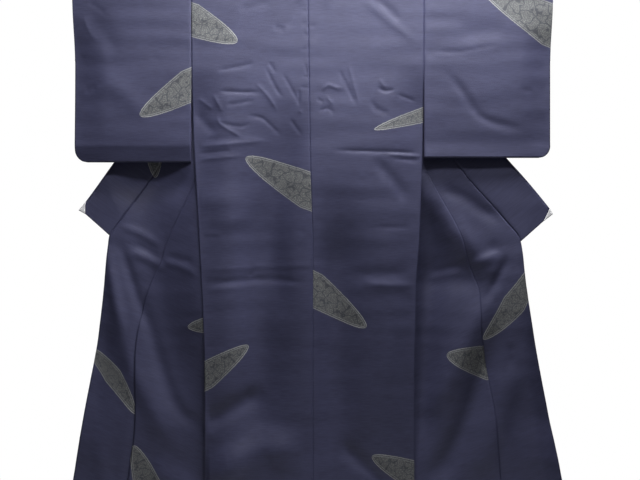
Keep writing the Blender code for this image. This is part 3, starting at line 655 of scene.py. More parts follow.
# Folds of the fronts where they lie spread out, with their okumi and collar
flapFolds = {
    left: (
        (3, 0.8, (55.4, 70), (53.4, 88), (50, 100.5), (45.4, 111), (39.6, 121.5), (34, 129.5)),
        (3.5, 0.8, (44, 131), (37, 135), (30, 139)),
        (2, -0.6, (49.5, 76), (44.8, 91.4), (40.7, 105), (36.4, 115), (30.5, 119.5), (24, 120)),
        (5.2, 1.35, (30.2, 39), (30, 50), (29.6, 62), (28.8, 80), (27.5, 104)),
        (4.6, -1.3, (30, 52.5), (38, 53), (46, 54), (55, 56.5)),
        (6.2, -1.6, (44, 30), (43.8, 46), (43.5, 62), (43, 74), (41.5, 87), (38, 100.3),
         (33.5, 113), (27, 121)),
        (15, -2.2, (57, 20), (57, 50), (58, 85), (58, 125)),
        (0.9, 0.3, (52.6, 65.3), (48, 66.7), (42.9, 69.7), (40.5, 71.3)),
        (0.95, 0.36, (49.7, 72), (45.9, 73.8), (41.5, 76.2), (39.9, 77.6)),
        (0.7, -0.2, (49.4, 70), (45.4, 71.9), (41, 74.2)),
        (0.8, 0.26, (41.1, 75), (35.2, 76.5), (30.3, 78.6)),
        (0.7, -0.18, (39.9, 73.4), (31.4, 75.2)),
        (1.5, 0.46, (56.3, 69.6), (55.2, 76.1), (53.3, 86), (50.8, 96)),
        (1.2, -0.42, (52.8, 69.4), (50.3, 76.6), (47.7, 85.6), (44.5, 94)),
        (0.5, -0.07, (42.3, 65.9), (38.5, 67.2)),
        (0.5, -0.07, (41.5, 62.3), (38.5, 62.8)),
        (0.4, 0.07, (46.4, 87.1), (45.4, 88.6), (45.9, 89.8), (45, 91.2)),
        (2.4, -0.35, (56.5, 92), (57.5, 104), (59.5, 118)),
        (2.4, 0.3, (57.5, 122), (56, 150)),
    ),
    right: (
        (2, -0.6, (34.9, 54.4), (40.1, 56.3), (43.7, 57.9), (48, 61.2), (53.2, 64.1)),
        (3.8, 1.5, (30, 49.5), (35.5, 60), (41, 68), (47, 74.5), (54, 77)),
        (5, -2.6, (31.5, 46), (32, 64), (31.5, 90), (30, 118), (29, 140)),
        (9, 1.2, (60, 40), (59, 64), (57, 95), (56, 130), (60, 190)),
        (3.6, 0.9, (58, 66), (58, 80), (60, 100), (66, 150)),
        (4.5, -1.2, (35, 58), (35, 76), (33, 100), (33, 130)),
        (16, 1.7, (72, 120), (66, 140), (58, 162)),
        (6.5, -1.3, (26, 80), (36, 79), (43, 78), (50, 77.5)),
        (0.4, 0.07, (47.6, 58.5), (49.4, 61.3)),
        (0.4, 0.08, (48.9, 58.2), (50.8, 61.5)),
        (0.4, 0.07, (50.3, 58.4), (52, 61)),
        (0.5, 0.07, (42.6, 69.9), (46.7, 69.1)),
        (1.6, -0.34, (43, 74.3), (48, 72.5), (53, 70.7)),
        (0.8, 0.24, (44.4, 76), (52.1, 72.4)),
        (0.45, -0.14, (45.6, 77.6), (52.1, 75.7)),
        (0.8, -0.22, (33.7, 78.4), (39, 76.8), (43.7, 76)),
        (0.8, 0.22, (32.2, 80.2), (43.7, 77.6)),
        (1.2, -0.42, (54.3, 72.7), (53, 77), (50, 82.5), (47.8, 86.9)),
        (3.2, 0.9, (51.5, 81), (47.9, 88), (44.3, 94.5), (40.2, 103.8), (36, 111.5), (31, 119.5)),
        (3.2, -1.5, (52, 93), (48.7, 102.7), (44.6, 115), (40.2, 125.5), (35.2, 133.5), (30, 140)),
        (3.2, 0.8, (56.5, 102), (53, 114), (49, 125), (44.5, 136)),
        (1.4, -0.22, (55.4, 97), (54.9, 104.3)),
        (2.4, -0.35, (60.5, 92), (63, 108), (66.5, 124)),
    ),
}

leaves = {
    "back": {
        left: (
            (19.4, 15.3, 44.5, 3.3, 4.6, 0), (17.2, 46.7, -17.2, 64.8, 5.1, 0),
            (16.7, 98.1, 40.1, 114.4, 3.8, 0), (9, 150, -16, 160, 4.4, 0),
        ),
        right: (
            (17.7, 39.1, 44.5, 30.9, 2.1, 0), (15.6, 92.9, -13.4, 72.1, 4.7, 0),
            (17.2, 128.1, 40.1, 138.5, 4, 0),
        ),
    },
    "front": {
        left: ((33.3, 93, 20.2, 91.5, 2.6, 0), (48.2, 125.5, 39.9, 148.3, 4, 0)),
        right: ((37.9, 100.7, 60.9, 104.9, 4.9, 0), (45, 143, 32, 158, 3.8, 0)),
    },
    "okumi": {
        left: (
            (47.8, 116.9, 62.5, 97.8, 2.6, -1.2), (42.9, 51.7, 42.9, 33.6, 3, 0),
            (60, 141, 72, 152, 3.4, 0),
        ),
        right: ((47.8, 96.4, 61.7, 75.1, 3.2, 1.4),),
    },
}


# Folds and unevenness of a front, with its okumi and collar
def flapLift(side, x, level):
    return foldLift(flapFolds[side], x, level) + rippleLift(x, level)


# How far out the centre seam lies
def centreLine(side, drop):
    return side * readTable(body["centre"], "x", drop) + body["centreGap"]


# How far out the neck's edge lies on its way over the pole
def neckX(angle, last):
    if angle <= 90.0:
        return mix(body["neckBack"], body["neckHalf"], sin(radians(angle)) ** body["neckCurve"])
    return mix(body["neckHalf"], last, ease((angle - 90.0) / 90.0))


# One row of cloth over the pole: its points, and its lengths of cloth
def poleRow(angle, x, across):
    turn = radians(angle)
    y, z = -body["poleBeside"] * cos(turn), body["poleOver"] * sin(turn)
    return inRows(x, y, z), inRows(across, -body["overPole"] * angle / 180.0)


# One level of a front: how far it runs from its crease, the crease, its side edge, how far it is rolled
# outward and the way in which it runs
def frontLevel(side, drop):
    table = fronts[side]
    edge = readTable(sideSeams[side], "half", drop)
    seamX, seamZ = readTable(table, "seamX", drop), readTable(table, "seamZ", drop)
    level = max(drop, body["armhole"])
    out = seamX - readTable(sideSeams[side], "half", level)
    up = seamZ + level
    hidden = (body["frontWidth"] ** 2 - out ** 2 - up ** 2) / (2 * (body["frontWidth"] + out))
    hidden = max(hidden, body["leastTurn"])
    crease = readTable(sideSeams[side], "half", level) - hidden
    length = hypot(seamX - crease, up)
    rise = up / length
    roll = 1.0
    if drop < body["armhole"]:
        share = drop / body["armhole"]
        crease = mix(body["neckCrease"], crease, share)
        length = mix(body["shoulderWidth"] - (edge - body["neckCrease"]), length, share)
        roll = mix(clamp(drop / body["rollEnd"]), ease(drop / body["rollEnd"]), 0.5)
    rise *= roll
    flat = (1 - rise * rise) ** 0.5
    way = np.array((-cos(pi * roll) * flat, sin(pi * roll), -cos(pi * roll) * rise))
    start = np.array((crease, readTable(hang, "flap", drop) - body["turn"], -drop))
    return length, start, edge, roll, way


# Points of a front at distances of cloth beyond its crease (before it where they are negative)
def frontPoints(side, drop, distance):
    start, edge, roll, way = frontLevel(side, drop)[1:]
    bend, turned = body["bend"], body["turn"] * (1 - cos(pi * roll)) / 2
    hidden = edge - start[0]

    def beyond(reach):
        return start + way * reach[:, None] + np.array((0.0, turned, 0.0))

    def before(reach):
        near = ease((hidden + reach) / min(hidden, body["closeIn"]))
        depth = mix(readTable(hang, "side", drop), start[1], near)
        return inRows(start[0] - reach, depth, -drop)

    first, last = before(np.array([-bend])), beyond(np.array([bend]))
    middle = 2 * (start + np.array((0.0, turned / 2, 0.0))) - (first + last) / 2
    t = np.clip((distance + bend) / (2 * bend), 0.0, 1.0)[:, None]
    curve = (1 - t) ** 2 * first + 2 * t * (1 - t) * middle + t ** 2 * last
    points = np.where((distance > bend)[:, None], beyond(distance), curve)
    return np.where((distance < -bend)[:, None], before(distance), points)


# Distances beyond the crease for the stations from the far end to the side seam
def frontStations(side, drop, share):
    length, start, edge = frontLevel(side, drop)[:3]
    hidden, bend = edge - start[0], body["bend"]
    aligned = np.concatenate((
        np.linspace(length, bend, body["flapStations"]),
        np.linspace(bend, -bend, body["turnStations"] + 1)[1:],
        np.linspace(-bend, -hidden, body["hiddenStations"] + 1)[1:]))
    return mix(np.linspace(length, -hidden, len(aligned)), aligned, share)


# The drops of all levels between the given stops
def levelDrops(stops):
    drops = []
    for (start, step), stop in zip(stops, stops[1:]):
        drops += spread(start, stop[0], step)
    return drops + [stops[-1][0]]


backDrops, frontDrops = levelDrops(body["backLevels"]), levelDrops(body["frontLevels"])
arcAngles = [180.0 * step / body["arcSteps"] for step in range(1, body["arcSteps"])]


# Where the back's folds may rise: not at the side seam, and not on the pole
def backFree(side, x, drop):
    edge = readTable(sideSeams[side], "half", drop)
    return ease((edge - x) / body["edgeFree"]) * ease(drop / body["topFree"])


def makeBody(side):
    neckCount = body["neckStations"]
    beyondCount = body["flapStations"] + body["turnStations"] + body["hiddenStations"]
    top = readTable(sideSeams[side], "half", 0.0)
    shoulder = frontPoints(side, 0.0, frontStations(side, 0.0, 0.5))[:, 0]
    places = (shoulder - shoulder[0]) / (top - shoulder[0])
    even = np.linspace(0.0, 1.0, beyondCount)
    rows, lengths, fields = [], [], []

    def withNeck(values):
        return np.concatenate((np.repeat(values[:1], neckCount, axis=0), values))

    for drop in backDrops:
        edge = readTable(sideSeams[side], "half", drop)
        centre = centreLine(side, drop)
        neck = np.linspace(centre, body["neckBack"], neckCount + 1)[:-1]
        if side == right:
            neck[0] -= cloth["tuck"]
        x = np.concatenate((neck, mix(body["neckBack"], edge, even)))
        inward = ease((edge - x) / body["closeIn"])
        depth = mix(readTable(hang, "side", drop), readTable(hang, "back", drop), inward)
        free = backFree(side, x, drop)
        level = np.full_like(x, drop)
        depth = depth + foldLift(backFolds, side * x, level) * free + rippleLift(side * x, level) * free
        depth -= seamDip(x - centre) if side == left else seamUnder(x - centre)
        if drop < body["armhole"]:
            depth -= seamDip(edge - x) * body["armGroove"]
        dip = body["neckDip"] * np.clip(1 - (x / body["neckBack"]) ** 2, 0, 1)
        dip *= 1 - ease(drop / body["dipEnd"])
        rows.append(inRows(x, -depth, -drop - dip))
        lengths.append(inRows(edge - x, level))
        fields.append(leafField(leaves["back"][side], x, level))
    for angle in arcAngles:
        neck = neckX(angle, shoulder[0])
        share = mix(even, places, ease((angle - body["fanFrom"]) / (180.0 - body["fanFrom"])))
        x = np.concatenate((np.full(neckCount, neck), mix(neck, top, share)))
        points, length = poleRow(angle, x, top - x)
        rows.append(points)
        lengths.append(length)
        fields.append(leafField((), x, x))
    for drop in frontDrops:
        distance = frontStations(side, drop, mix(0.5, 1.0, ease(drop / body["alignOver"])))
        points = frontPoints(side, drop, distance)
        length, start, edge, roll = frontLevel(side, drop)[:4]
        x, level = points[:, 0], -points[:, 2]
        free = ease(np.abs(distance) / body["creaseFree"]) * roll
        lift = flapLift(side, x, level) * free
        under = np.maximum(readTable(hang, "flap", drop) - lift - body["layerGap"], 0.0)
        sunk = np.where(distance < -body["bend"], np.minimum(points[:, 1], under), points[:, 1])
        points[:, 1] = np.where(distance > 0, points[:, 1] - lift, sunk)
        if drop > body["armhole"]:
            rolled = 1 - ease((drop - body["seamRollEnd"]) / body["seamRollFade"])
            points[:, 1] += seamDip(length - distance) * mix(1.0, body["seamRoll"][side], rolled)
        rows.append(withNeck(points))
        lengths.append(withNeck(inRows(edge - start[0] + distance, -body["overPole"] - drop)))
        field = leafField(leaves["front"][side], x, level)
        field[distance < body["leafFrom"]] = noLeaf
        fields.append(withNeck(field))
    points = np.array(rows)
    points[..., 0] *= side

    def kept(station, level):
        return station >= neckCount or level + 1 < len(backDrops)

    name = "body_" + words[side] + "_cloth"
    facing = np.array(lengths)[..., 1]
    facing = np.maximum(facing - facingAt["back"], -body["overPole"] - facing - facingAt["front"])
    mesh = sheetMesh(name, points, np.array(lengths), np.array(fields), facing, kept, turned=side == left)
    piece = addSheet(name, mesh)
    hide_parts("body_" + words[side])
    print("body", words[side])


# The okumi: a narrow panel from the collar's start down to the hem
okumi = {
    "top": 22.8, "collarEnd": 82.4, "tuck": 0.75, "sink": 0.22, "sinkReach": 1.3, "stations": 34, "step": 0.8,
}


def makeOkumi(side):
    rows, lengths = [], []
    for drop in spread(okumi["top"], body["hem"], okumi["step"]) + [body["hem"]]:
        seamX, seamZ, edgeX, edgeZ = (readTable(fronts[side], name, drop) for name in frontColumns[1:])
        seam, edge = np.array((seamX, 0.0, seamZ)), np.array((edgeX, 0.0, edgeZ))
        width = np.linalg.norm(edge - seam)
        share = np.linspace(0.0, 1.0, okumi["stations"])[:, None]
        share[0] = -okumi["tuck"] / width
        points = seam + (edge - seam) * share
        x, level = points[:, 0], -points[:, 2]
        points[:, 1] = readTable(hang, "flap", drop) - flapLift(side, x, level)
        beyond = share[:, 0] * width
        points[:, 1] += seamUnder(beyond)
        points[:, 1] += okumi["sink"] * np.exp(-(beyond / okumi["sinkReach"]) ** 2)
        if drop < okumi["collarEnd"]:
            points[:, 1] += seamDip((1 - share[:, 0]) * width)
        rows.append(points)
        lengths.append(inRows(beyond, drop))
    points = np.array(rows)
    field = leafField(leaves["okumi"][side], points[..., 0], -points[..., 2])
    points[..., 0] *= side
    name = "okumi_" + words[side] + "_cloth"
    facing = np.array(lengths)[..., 1] - facingAt["front"]
    piece = addSheet(name, sheetMesh(name, points, np.array(lengths), field, facing, turned=side == right))
    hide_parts("okumi_" + words[side])
    print("okumi", words[side])


# The collar: folded in half at the neck, opened flat towards its ends
collarColumns = ("drop", "rise", "width")
collar = {
    "leafGap": 0.2, "leafFull": 0.6, "short": 0.4, "clothWidth": 11.0, "leafLeast": 0.35, "lean": 5.0,
    "squareEnd": 55.0, "squareFade": 10.0, "wall": 0.12, "gap": 0.04, "tuck": 0.12, "tuckOver": 6.0,
    "flatFrom": 2.0, "sink": 0.06, "seamSink": 0.14, "seamReach": 0.45,
    "step": 0.6, "backSteps": 4, "arcStep": 22.5, "outer": 16, "round": 4, "inner": 12, "foldCloth": 0.2,
    "neckDrops": (0.0, 2.0, 4.2, 6.5, 9.0, 11.5, 14.0, 16.5, 21.4),
    "drops": (22.8, 28.0, 34.0, 40.0, 46.0, 52.0, 58.0, 64.0, 70.0, 74.5),
    "fall": {
        "columns": ("drop", "lean"),
        "rows": ((-5.1, 0), (-2.55, 9), (0, 26), (4, 48), (8.5, 68), (12.5, 82), (16.5, 90)),
    },
    left: {
        "columns": collarColumns,
        "rows": (
            (0, 0, 5.5), (16.5, 27, 5.7), (21.4, 31, 6.6), (50, 36, 10.9),
            (61, 35.6, 10.9), (77.8, 35.4, 10.9), (82.4, 41.7, 9.1),
        ),
        "ends": (77.8, 82.4),
    },
    right: {
        "columns": collarColumns,
        "rows": (
            (0, 0, 5.5), (16.5, 27, 5.7), (21.4, 31, 6.6), (50, 38, 11.2),
            (61, 39, 11.8), (80.5, 38.6, 11.6), (82.4, 41, 8.7),
        ),
        "ends": (80.5, 82.4),
    },
}


# The collar's seam from the centre back to the end of one side: place, the way that the body's
# cloth faces or runs there, the way in which the collar rises, and its drop
def collarSeam(side):
    rows = []
    lean = radians(collar["lean"])
    standing = Vector((0, -sin(lean), cos(lean)))
    for share in np.linspace(0.0, 1.0, collar["backSteps"] + 1):
        x = mix(centreLine(side, 0.0), body["neckBack"], share)
        base = Vector((x, -body["poleBeside"], -body["neckDip"] * (1 - share ** 2)))
        rows.append((base, Vector((0, -1, 0)), None, standing, 0))
    for angle in np.arange(collar["arcStep"], 180.0, collar["arcStep"]):
        turn = radians(angle)
        radial = Vector((0, -cos(turn), sin(turn)))
        fall = radians(readTable(collar["fall"], "lean", body["overPole"] * (angle / 180.0 - 1)))
        up = standing.lerp(Vector((0, 0, 1)), angle / 90) if angle < 90 else radial
        up = up.normalized() * cos(fall) + Vector((sin(fall), 0, 0))
        y, z = -body["poleBeside"] * cos(turn), body["poleOver"] * sin(turn)
        rows.append((Vector((neckX(angle, body["neckHalf"]), y, z)), radial, None, up, 0))
    for drop in collar["neckDrops"] + collar["drops"] + collar[side]["ends"]:
        front = frontLevel(side, drop)
        turn = radians(90.0 + readTable(collar["fall"], "lean", drop))
        rise = radians(readTable(collar[side], "rise", drop))
        up = Vector((-cos(turn) * cos(rise), sin(turn), -cos(turn) * sin(rise)))
        if drop <= body["armhole"]:
            base, way = Vector(frontPoints(side, drop, np.array(front[:1]))[0]), Vector(front[-1])
        else:
            x, z = (readTable(fronts[side], name, drop) for name in ("edgeX", "edgeZ"))
            base, way = Vector((x, readTable(hang, "flap", drop), z)), up
        rows.append((base, None, way, up, drop))
    return rows


# One row of the collar: up its outer half, round the fold and down its inner half
def collarRow(side, rows, index):
    base, outward, way, up, drop = rows[index]
    before = rows[max(index - 1, 0)][0]
    after = rows[min(index + 1, len(rows) - 1)][0]
    along = Vector((1, 0, 0)) if index == 0 else (after - before).normalized()
    if way is None:
        way = outward.cross(along).normalized()
    square = clamp((collar["squareEnd"] - drop) / collar["squareFade"]) if outward is None else 0
    up = (up - along * up.dot(along) * square).normalized()
    inward = up.cross(along).normalized()
    width = readTable(collar[side], "width", drop)
    leaf = max(min(width - collar["short"], collar["clothWidth"] - width), 0.0)
    half = collar["leafGap"] / 2 * clamp(leaf / collar["leafFull"])
    clear = collar["gap"] + collar["wall"] * (1 - min(way.dot(up) ** 2, 1.0)) ** 0.5
    tucked = ease((drop - body["rollEnd"]) / collar["tuckOver"])
    foot = base + way * mix(clear, -collar["tuck"], tucked)
    places = [(share * (width - half), 0.0) for share in np.linspace(0.0, 1.0, collar["outer"])]
    for step in range(1, collar["round"] + 1):
        turn = pi * step / (collar["round"] + 1)
        places.append((width - half + half * sin(turn), half * (1 - cos(turn))))
    places += [(width - half - leaf * share, 2 * half) for share in np.linspace(0.0, 1.0, collar["inner"])]
    points = [np.array(foot + up * height + inward * depth) for height, depth in places]
    return np.array(points), leaf


# Rows of points along a smooth curve through the given rows, with a corner at the last but one
def smoothRows(rows, step):
    rows = np.array(rows)
    middle = rows[:, rows.shape[1] // 4, :3]
    lengths = np.linalg.norm(np.diff(middle, axis=0), axis=1)
    along = np.concatenate(([0.0], np.cumsum(lengths)))
    slopes = np.gradient(rows, along, axis=0)
    starts, ends = slopes[:-1].copy(), slopes[1:].copy()
    ends[-2] = (rows[-2] - rows[-3]) / lengths[-2]
    starts[-1] = ends[-1] = (rows[-1] - rows[-2]) / lengths[-1]
    places = np.array(spread(0.0, along[-2], step) + spread(along[-2], along[-1], step / 2) + [along[-1]])
    row = np.clip(np.searchsorted(along, places, side="right") - 1, 0, len(lengths) - 1)
    t = ((places - along[row]) / lengths[row])[:, None, None]
    span = lengths[row][:, None, None]
    smooth = (1 + 2 * t) * (1 - t) ** 2 * rows[row] + t * (1 - t) ** 2 * span * starts[row]
    smooth += t * t * (3 - 2 * t) * rows[row + 1] + t * t * (t - 1) * span * ends[row]
    return smooth, places


def collarPoints(side):
    seam = collarSeam(side)
    rows = []
    for index in range(len(seam)):
        points, leaf = collarRow(side, seam, index)
        extra = np.tile((leaf, seam[index][4]), (len(points), 1))
        rows.append(np.concatenate((points, extra), axis=1))
    smooth, along = smoothRows(rows, collar["step"])
    points, leaf, drop = smooth[..., :3], smooth[..., 0, 3], smooth[..., 4]
    flat = ease((drop - collar["flatFrom"]) / (body["rollEnd"] - collar["flatFrom"]))
    reach = np.linalg.norm(points - points[:, :1], axis=2)
    x, level = points[..., 0].copy(), -points[..., 2]
    points[..., 1] -= flapLift(side, x, level) * flat
    deep = ease((drop - body["rollEnd"]) / collar["tuckOver"])
    sunk = collar["seamSink"] * np.exp(-(reach / collar["seamReach"]) ** 2) + collar["sink"]
    points[..., 1] += deep * sunk
    field = leafField(leaves["okumi"][side], x, level)
    field[drop < body["armhole"]] = noLeaf
    points[..., 0] *= side
    return points, leaf, along, field


def makeCollar():
    halves = {side: collarPoints(side) for side in (left, right)}
    points, leaf, along, field = (
        np.concatenate((halves[left][part][::-1] * (-1 if part == 2 else 1), halves[right][part][1:]))
        for part in range(4))
    across, middle, fold = collar["clothWidth"], collar["clothWidth"] / 2, collar["foldCloth"]
    places = np.concatenate((
        np.linspace(0.0, middle, collar["outer"]), np.full(collar["round"], middle + fold / 2),
        np.linspace(middle + fold, across, collar["inner"])))
    lengths = np.zeros(points.shape[:2] + (2,))
    lengths[..., 0], lengths[..., 1] = places, along[:, None]
    facing = np.full(points.shape[:2], -1.0)
    last = collar["outer"] - 1

    def kept(station, level):
        return station < last or min(leaf[level], leaf[level + 1]) > collar["leafLeast"]

    mesh = sheetMesh("collar_cloth", points, lengths, field, facing, kept, turned=True)
    piece = addSheet("collar_cloth", mesh)
    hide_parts("collar")
    print("collar")


# The collar's pale lining at its open ends: one small triangle at each
collarTip = {left: (63.8, -60.9), right: (66.9, -62.0), "apart": 0.02, "cuts": 7}


def makeTip(side):
    seam = collarSeam(side)
    last = collar["outer"] - 1
    above = Vector(collarRow(side, seam, len(seam) - 2)[0][last])
    below = Vector(collarRow(side, seam, len(seam) - 1)[0][last])
    tipX, tipZ = collarTip[side]
    tip = Vector((tipX, above.y, tipZ))
    apart = (tip - (above + below) / 2).normalized() * collarTip["apart"]
    sheet = bmesh.new()
    corners = [sheet.verts.new(corner) for corner in (above + apart, tip, below + apart)]
    sheet.faces.new(corners)
    bmesh.ops.subdivide_edges(sheet, edges=sheet.edges[:], cuts=collarTip["cuts"], use_grid_fill=True)
    if side == right:
        bmesh.ops.reverse_faces(sheet, faces=sheet.faces[:])
    clothMap = sheet.loops.layers.uv.new("cloth")
    for vertex in sheet.verts:
        x, level = np.array([vertex.co.x]), np.array([-vertex.co.z])
        vertex.co.y -= float(flapLift(side, x, level)[0])
        for corner in vertex.link_loops:
            corner[clothMap].uv = (vertex.co.x * cm, vertex.co.z * cm)
        vertex.co = Vector((side * vertex.co.x, vertex.co.y, vertex.co.z)) * cm
    bmesh.ops.recalc_face_normals(sheet, faces=sheet.faces[:])
    if sheet.faces[:][0].normal.y > 0:
        bmesh.ops.reverse_faces(sheet, faces=sheet.faces[:])
    name = "collar_tip_" + words[side]
    mesh = meshFrom(sheet, name)
    mesh.polygons.foreach_set("use_smooth", [True] * len(mesh.polygons))
    piece = addSheet(name, mesh, paleLining)
    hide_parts("collar_lining_" + words[side])


# The sleeves: a ring of cloth round the pole, sewn up at the outer end below the cuff
sleeveColumns = ("drop", "inner", "outer")
sleeve = {
    "corner": 3.3, "closeOver": 9.0, "cuffRound": 6.0, "cuffEnd": 21.4, "edgeRound": 0.25, "sewnOver": 1.5,
    "innerFree": 1.2, "outerFree": 1.8, "topFree": 2.0, "hemFree": 1.5,  # where folds start
    "rippleShift": 9.0, "rippleShare": 1.2, "apart": 0.03, "sewnFrom": 0.99, "weld": 0.00001,
    "stations": 78, "lastPlaces": (0.4, 0.75, 1.0), "step": 0.5, "hemStep": 0.22, "hemBand": 1.2,
    "arcSteps": 14,
    left: {
        "columns": sleeveColumns,
        "rows": ((0, 31.9, 64.3), (21.4, 31.9, 63.8), (47.8, 32.3, 64)),
        "hemLine": 43.4, "hemTilt": -0.24,
    },
    right: {
        "columns": sleeveColumns,
        "rows": ((0, 31.2, 66.3), (21.4, 31.2, 65.8), (46.7, 31.4, 65.8)),
        "hemLine": 42.4, "hemTilt": 0.09,
    },
}

sleeveFolds = {
    left: (
        (0.6, -0.1, (60.3, 4.4), (57.6, 5.8), (54.9, 8)),
        (0.6, 0.1, (61.4, 8), (59.5, 12.9), (57.1, 15.3)),
        (0.4, -0.06, (42.9, 19.8), (40.4, 20)),
        (0.6, -0.08, (63, 17.3), (61.2, 20.5)),
        (0.9, -0.11, (61.2, 28.3), (57.6, 27.4)),
        (0.35, 0.04, (62.5, 43.3), (47, 43.5), (32.6, 43.4)),
        (2.6, -0.25, (60, 6), (52, 19)),
        (3, 0.25, (57, 24), (43, 36)),
    ),
    right: (
        (0.45, -0.1, (33.6, 17.8), (39, 18.1), (44.1, 17.4), (51.9, 15.9)),
        (0.45, 0.06, (33.6, 18.8), (39, 19.1)),
        (1.2, -0.26, (36, 23.2), (39, 25.4), (42.3, 29.5), (46.4, 35.3), (53.2, 38), (59, 39)),
        (0.5, -0.08, (57.1, 28), (60.9, 28.7)),
        (0.35, 0.04, (63, 42.5), (48, 42.3), (32.5, 42.4)),
        (2.6, -0.2, (40, 13), (54, 11.5)),
    ),
}
sleeveFrontFolds = (
    (2.6, 0.25, (36, 8), (46, 24), (60, 31)),
    (1.2, -0.2, (58, 9), (49, 20), (38, 38)),
    (0.6, 0.1, (40, 12), (52, 16)),
    (0.35, 0.04, (62.5, 43), (32.6, 43)),
)
sleeveLeaves = {
    left: ((45.9, 35.3, 18.6, 18.9, 4.5, 0),),
    right: ((46.7, 0.3, 85.4, 21.6, 5.7, 0),),
}
sleeveFrontLeaves = {
    left: ((48, 14, 76, 30, 4.8, 0),),
    right: ((50, 33, 20, 20, 4.4, 0),),
}


def makeSleeve(side):
    table = sleeve[side]
    depth = table["rows"][-1][0]
    hemBand = depth - sleeve["hemBand"]
    drops = spread(0.0, hemBand, sleeve["step"]) + spread(hemBand, depth, sleeve["hemStep"]) + [depth]
    angles = [180.0 * step / sleeve["arcSteps"] for step in range(1, sleeve["arcSteps"])]
    ring = [(drop, None, 1) for drop in drops[::-1]] + [(0.0, angle, 0) for angle in angles[::-1]]
    ring += [(drop, None, -1) for drop in drops]
    places = np.linspace(0.0, 1.0, sleeve["stations"])
    places = np.concatenate((places[:-1], mix(places[-2], 1.0, np.array(sleeve["lastPlaces"]))))
    rows, lengths, fields, trims = [], [], [], []
    for drop, angle, face in ring:
        inner = readTable(table, "inner", drop) + sleeve["apart"]
        outer = readTable(table, "outer", drop)
        corner = sleeve["corner"]
        if drop > depth - corner:
            outer -= corner * (1 - (1 - ((drop - depth + corner) / corner) ** 2) ** 0.5)
        x = mix(inner, outer, places)
        sewn = 1 - ease((drop - body["armhole"]) / sleeve["sewnOver"])
        x[0] -= cloth["tuck"] * sewn
        if face == 0:
            points, length = poleRow(angle, x, x - inner)
            rows.append(points)
            lengths.append(length)
            fields.append(leafField((), x, x))
            trims.append(facingAt["cuff"] - (outer - x))
            continue
        closed = ease((drop - sleeve["cuffRound"]) / (sleeve["cuffEnd"] - sleeve["cuffRound"]))
        closing = closed * ease(1 - (outer - x) / sleeve["closeOver"])
        half = mix(readTable(hang, "sleeve", drop), sleeve["edgeRound"], closing)
        level = np.full_like(x, drop)
        folds = sleeveFolds[side] if face == -1 else sleeveFrontFolds
        free = ease((x - inner) / sleeve["innerFree"]) * ease((outer - x) / sleeve["outerFree"])
        free = free * ease(drop / sleeve["topFree"]) * ease((depth - drop) / sleeve["hemFree"])
        uneven = rippleLift(side * x + sleeve["rippleShift"], level) * sleeve["rippleShare"]
        half = half + (foldLift(folds, x, level) + uneven) * free
        half -= seamUnder(x - inner) * sewn
        rim = np.minimum(np.where(closed > sleeve["sewnFrom"], outer - x, depth), depth - drop)
        rim = np.clip(rim / sleeve["edgeRound"], 0.0, 1.0)
        half = half * (1 - (1 - rim) ** 2) ** 0.5
        lean = table["hemTilt"] * max(drop - table["hemLine"], 0.0)
        rows.append(inRows(x, face * half - lean, -level))
        lengths.append(inRows(x - inner, level if face == -1 else -body["overPole"] - level))
        figures = sleeveLeaves[side] if face == -1 else sleeveFrontLeaves[side]
        fields.append(leafField(figures, x, level))
        trims.append(np.maximum(facingAt["cuff"] - (outer - x), facingAt["opening"] - (x - inner)))
    points = np.array(rows)
    points[..., 0] *= side
    name = "sleeve_" + words[side] + "_cloth"
    mesh = sheetMesh(name, points, np.array(lengths), np.array(fields), np.array(trims), turned=side == right)
    sheet = bmesh.new()
    sheet.from_mesh(mesh)
    bmesh.ops.remove_doubles(sheet, verts=sheet.verts[:], dist=sleeve["weld"])
    sheet.to_mesh(mesh)
    sheet.free()
    piece = addSheet(name, mesh)
    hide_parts("sleeve_" + words[side])
    print("sleeve", words[side])


# The pole
pole = {"radius": 1.4, "length": 146.0, "sides": 96, "chamfer": 0.2, "chamferSteps": 4}


def makePole():
    rod = bmesh.new()
    radius = pole["radius"] * cm
    bmesh.ops.create_cone(rod, cap_ends=True, segments=pole["sides"], radius1=radius, radius2=radius,
                          depth=pole["length"] * cm)
    rims = [edge for edge in rod.edges if abs(edge.verts[0].co.z - edge.verts[1].co.z) < 1e-6]
    bmesh.ops.bevel(rod, geom=rims, offset=pole["chamfer"] * cm, segments=pole["chamferSteps"], profile=0.5,
                    affect="EDGES", material=-1)
    for vertex in rod.verts:
        vertex.co = Vector((vertex.co.z, vertex.co.y, -vertex.co.x))
    mesh = meshFrom(rod, "pole_round")
    mesh.materials.append(woodFinish)
    for face in mesh.polygons:
        face.use_smooth = len(face.vertices) < pole["sides"]
    piece = addObject("pole_round", mesh)
    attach(piece, "root")
    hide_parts("pole")


makePole()
for side in (left, right):
    makeBody(side)
    makeOkumi(side)
    makeSleeve(side)
makeCollar()
for side in (left, right):
    makeTip(side)
print("garment made")

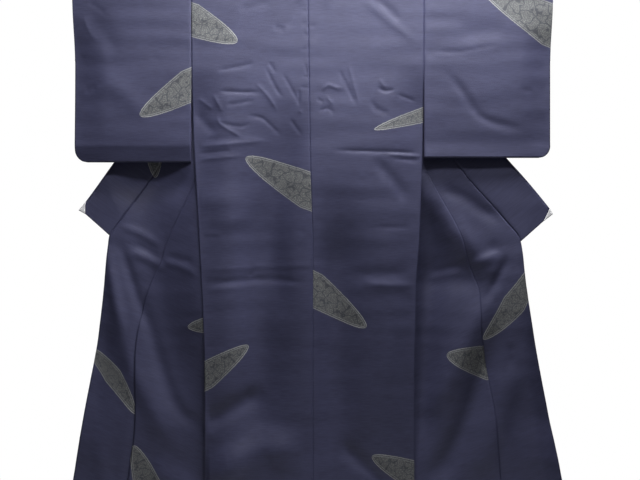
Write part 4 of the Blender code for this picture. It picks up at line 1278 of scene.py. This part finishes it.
# Floor, light and camera; lengths here are metres
studio = {
    "floorDrop": 1.76, "floorRadius": 1.30, "floorSides": 160,
    "floorDeep": (0.80, 0.80, 0.81), "floorLight": (0.85, 0.85, 0.86), "floorNoise": (3.0, 2.0),
    "floorRoughness": 0.8,
    "white": (1.0, 1.0, 1.0, 1.0), "surround": 0.03,
    # each light: power, place, size, what it points at, and how wide it spreads
    "lights": {
        "key": (74.0, (0.30, -0.38, 1.0), (0.9, 0.22), (0.05, 0.0, -0.5), 180.0),
        "top": (2.6, (0.25, -0.90, 0.55), (1.3, 0.15), (0.05, 0.0, -0.26), 44.0),
        "rear": (44.0, (-0.6, 2.3, 0.5), (1.8, 1.2), (0.0, 0.0, -0.7), 180.0),
        "fill": (6.5, (0.4, -3.0, 1.3), (2.2, 2.2), (0.0, 0.0, -0.7), 180.0),
    },
    "eye": (0.030, -2.427, -0.691), "lens": 50.0,
}


def makeFloor():
    sheet = bmesh.new()
    bmesh.ops.create_circle(sheet, cap_ends=True, segments=studio["floorSides"], radius=studio["floorRadius"])
    for vertex in sheet.verts:
        vertex.co.z = -studio["floorDrop"]
    mesh = meshFrom(sheet, "floor")
    material, tree, shader = newMaterial("paleFloor", studio["floorRoughness"])
    place = addNode(tree, "TexCoord", {}, {}).outputs["Object"]
    cloud = noiseNode(tree, place, *studio["floorNoise"], solid=True).outputs[0]
    color = mixColor(tree, cloud, studio["floorDeep"], studio["floorLight"])
    tree.links.new(color, shader.inputs["Base Color"])
    mesh.materials.append(material)
    addObject("floor", mesh)


def addLight(name, power, place, size, aim, spreadAngle):
    light = bpy.data.lights.new(name, "AREA")
    light.shape = "RECTANGLE"
    light.spread = radians(spreadAngle)
    light.size, light.size_y = size
    light.energy = power
    lamp = addObject(name, light)
    lamp.location = place
    lamp.rotation_euler = (Vector(aim) - Vector(place)).to_track_quat("-Z", "Y").to_euler()
    lamp.visible_camera = False


# White all round to the eye, and a soft even light on the cloth
def makeSurround():
    world = bpy.data.worlds.new("surround")
    world.use_nodes = True
    tree = world.node_tree
    seen = tree.nodes["Background"]
    seen.inputs["Color"].default_value = studio["white"]
    soft = addNode(tree, "Background", {}, {"Color": studio["white"], "Strength": studio["surround"]})
    rays = addNode(tree, "LightPath", {}, {}).outputs["Is Camera Ray"]
    either = addNode(tree, "MixShader", {}, {0: rays, 1: soft.outputs[0], 2: seen.outputs[0]})
    tree.links.new(either.outputs[0], tree.nodes["World Output"].inputs["Surface"])
    bpy.context.scene.world = world


makeFloor()
makeSurround()
for name, settings in studio["lights"].items():
    addLight(name, *settings)
bpy.context.scene.view_settings.view_transform = "Standard"

eye = addObject("camera", bpy.data.cameras.new("camera"))
eye.data.lens = studio["lens"]
eye.location = studio["eye"]
eye.rotation_euler = (radians(90.0), 0.0, 0.0)
bpy.context.scene.camera = eye
print("stage, light and camera made")
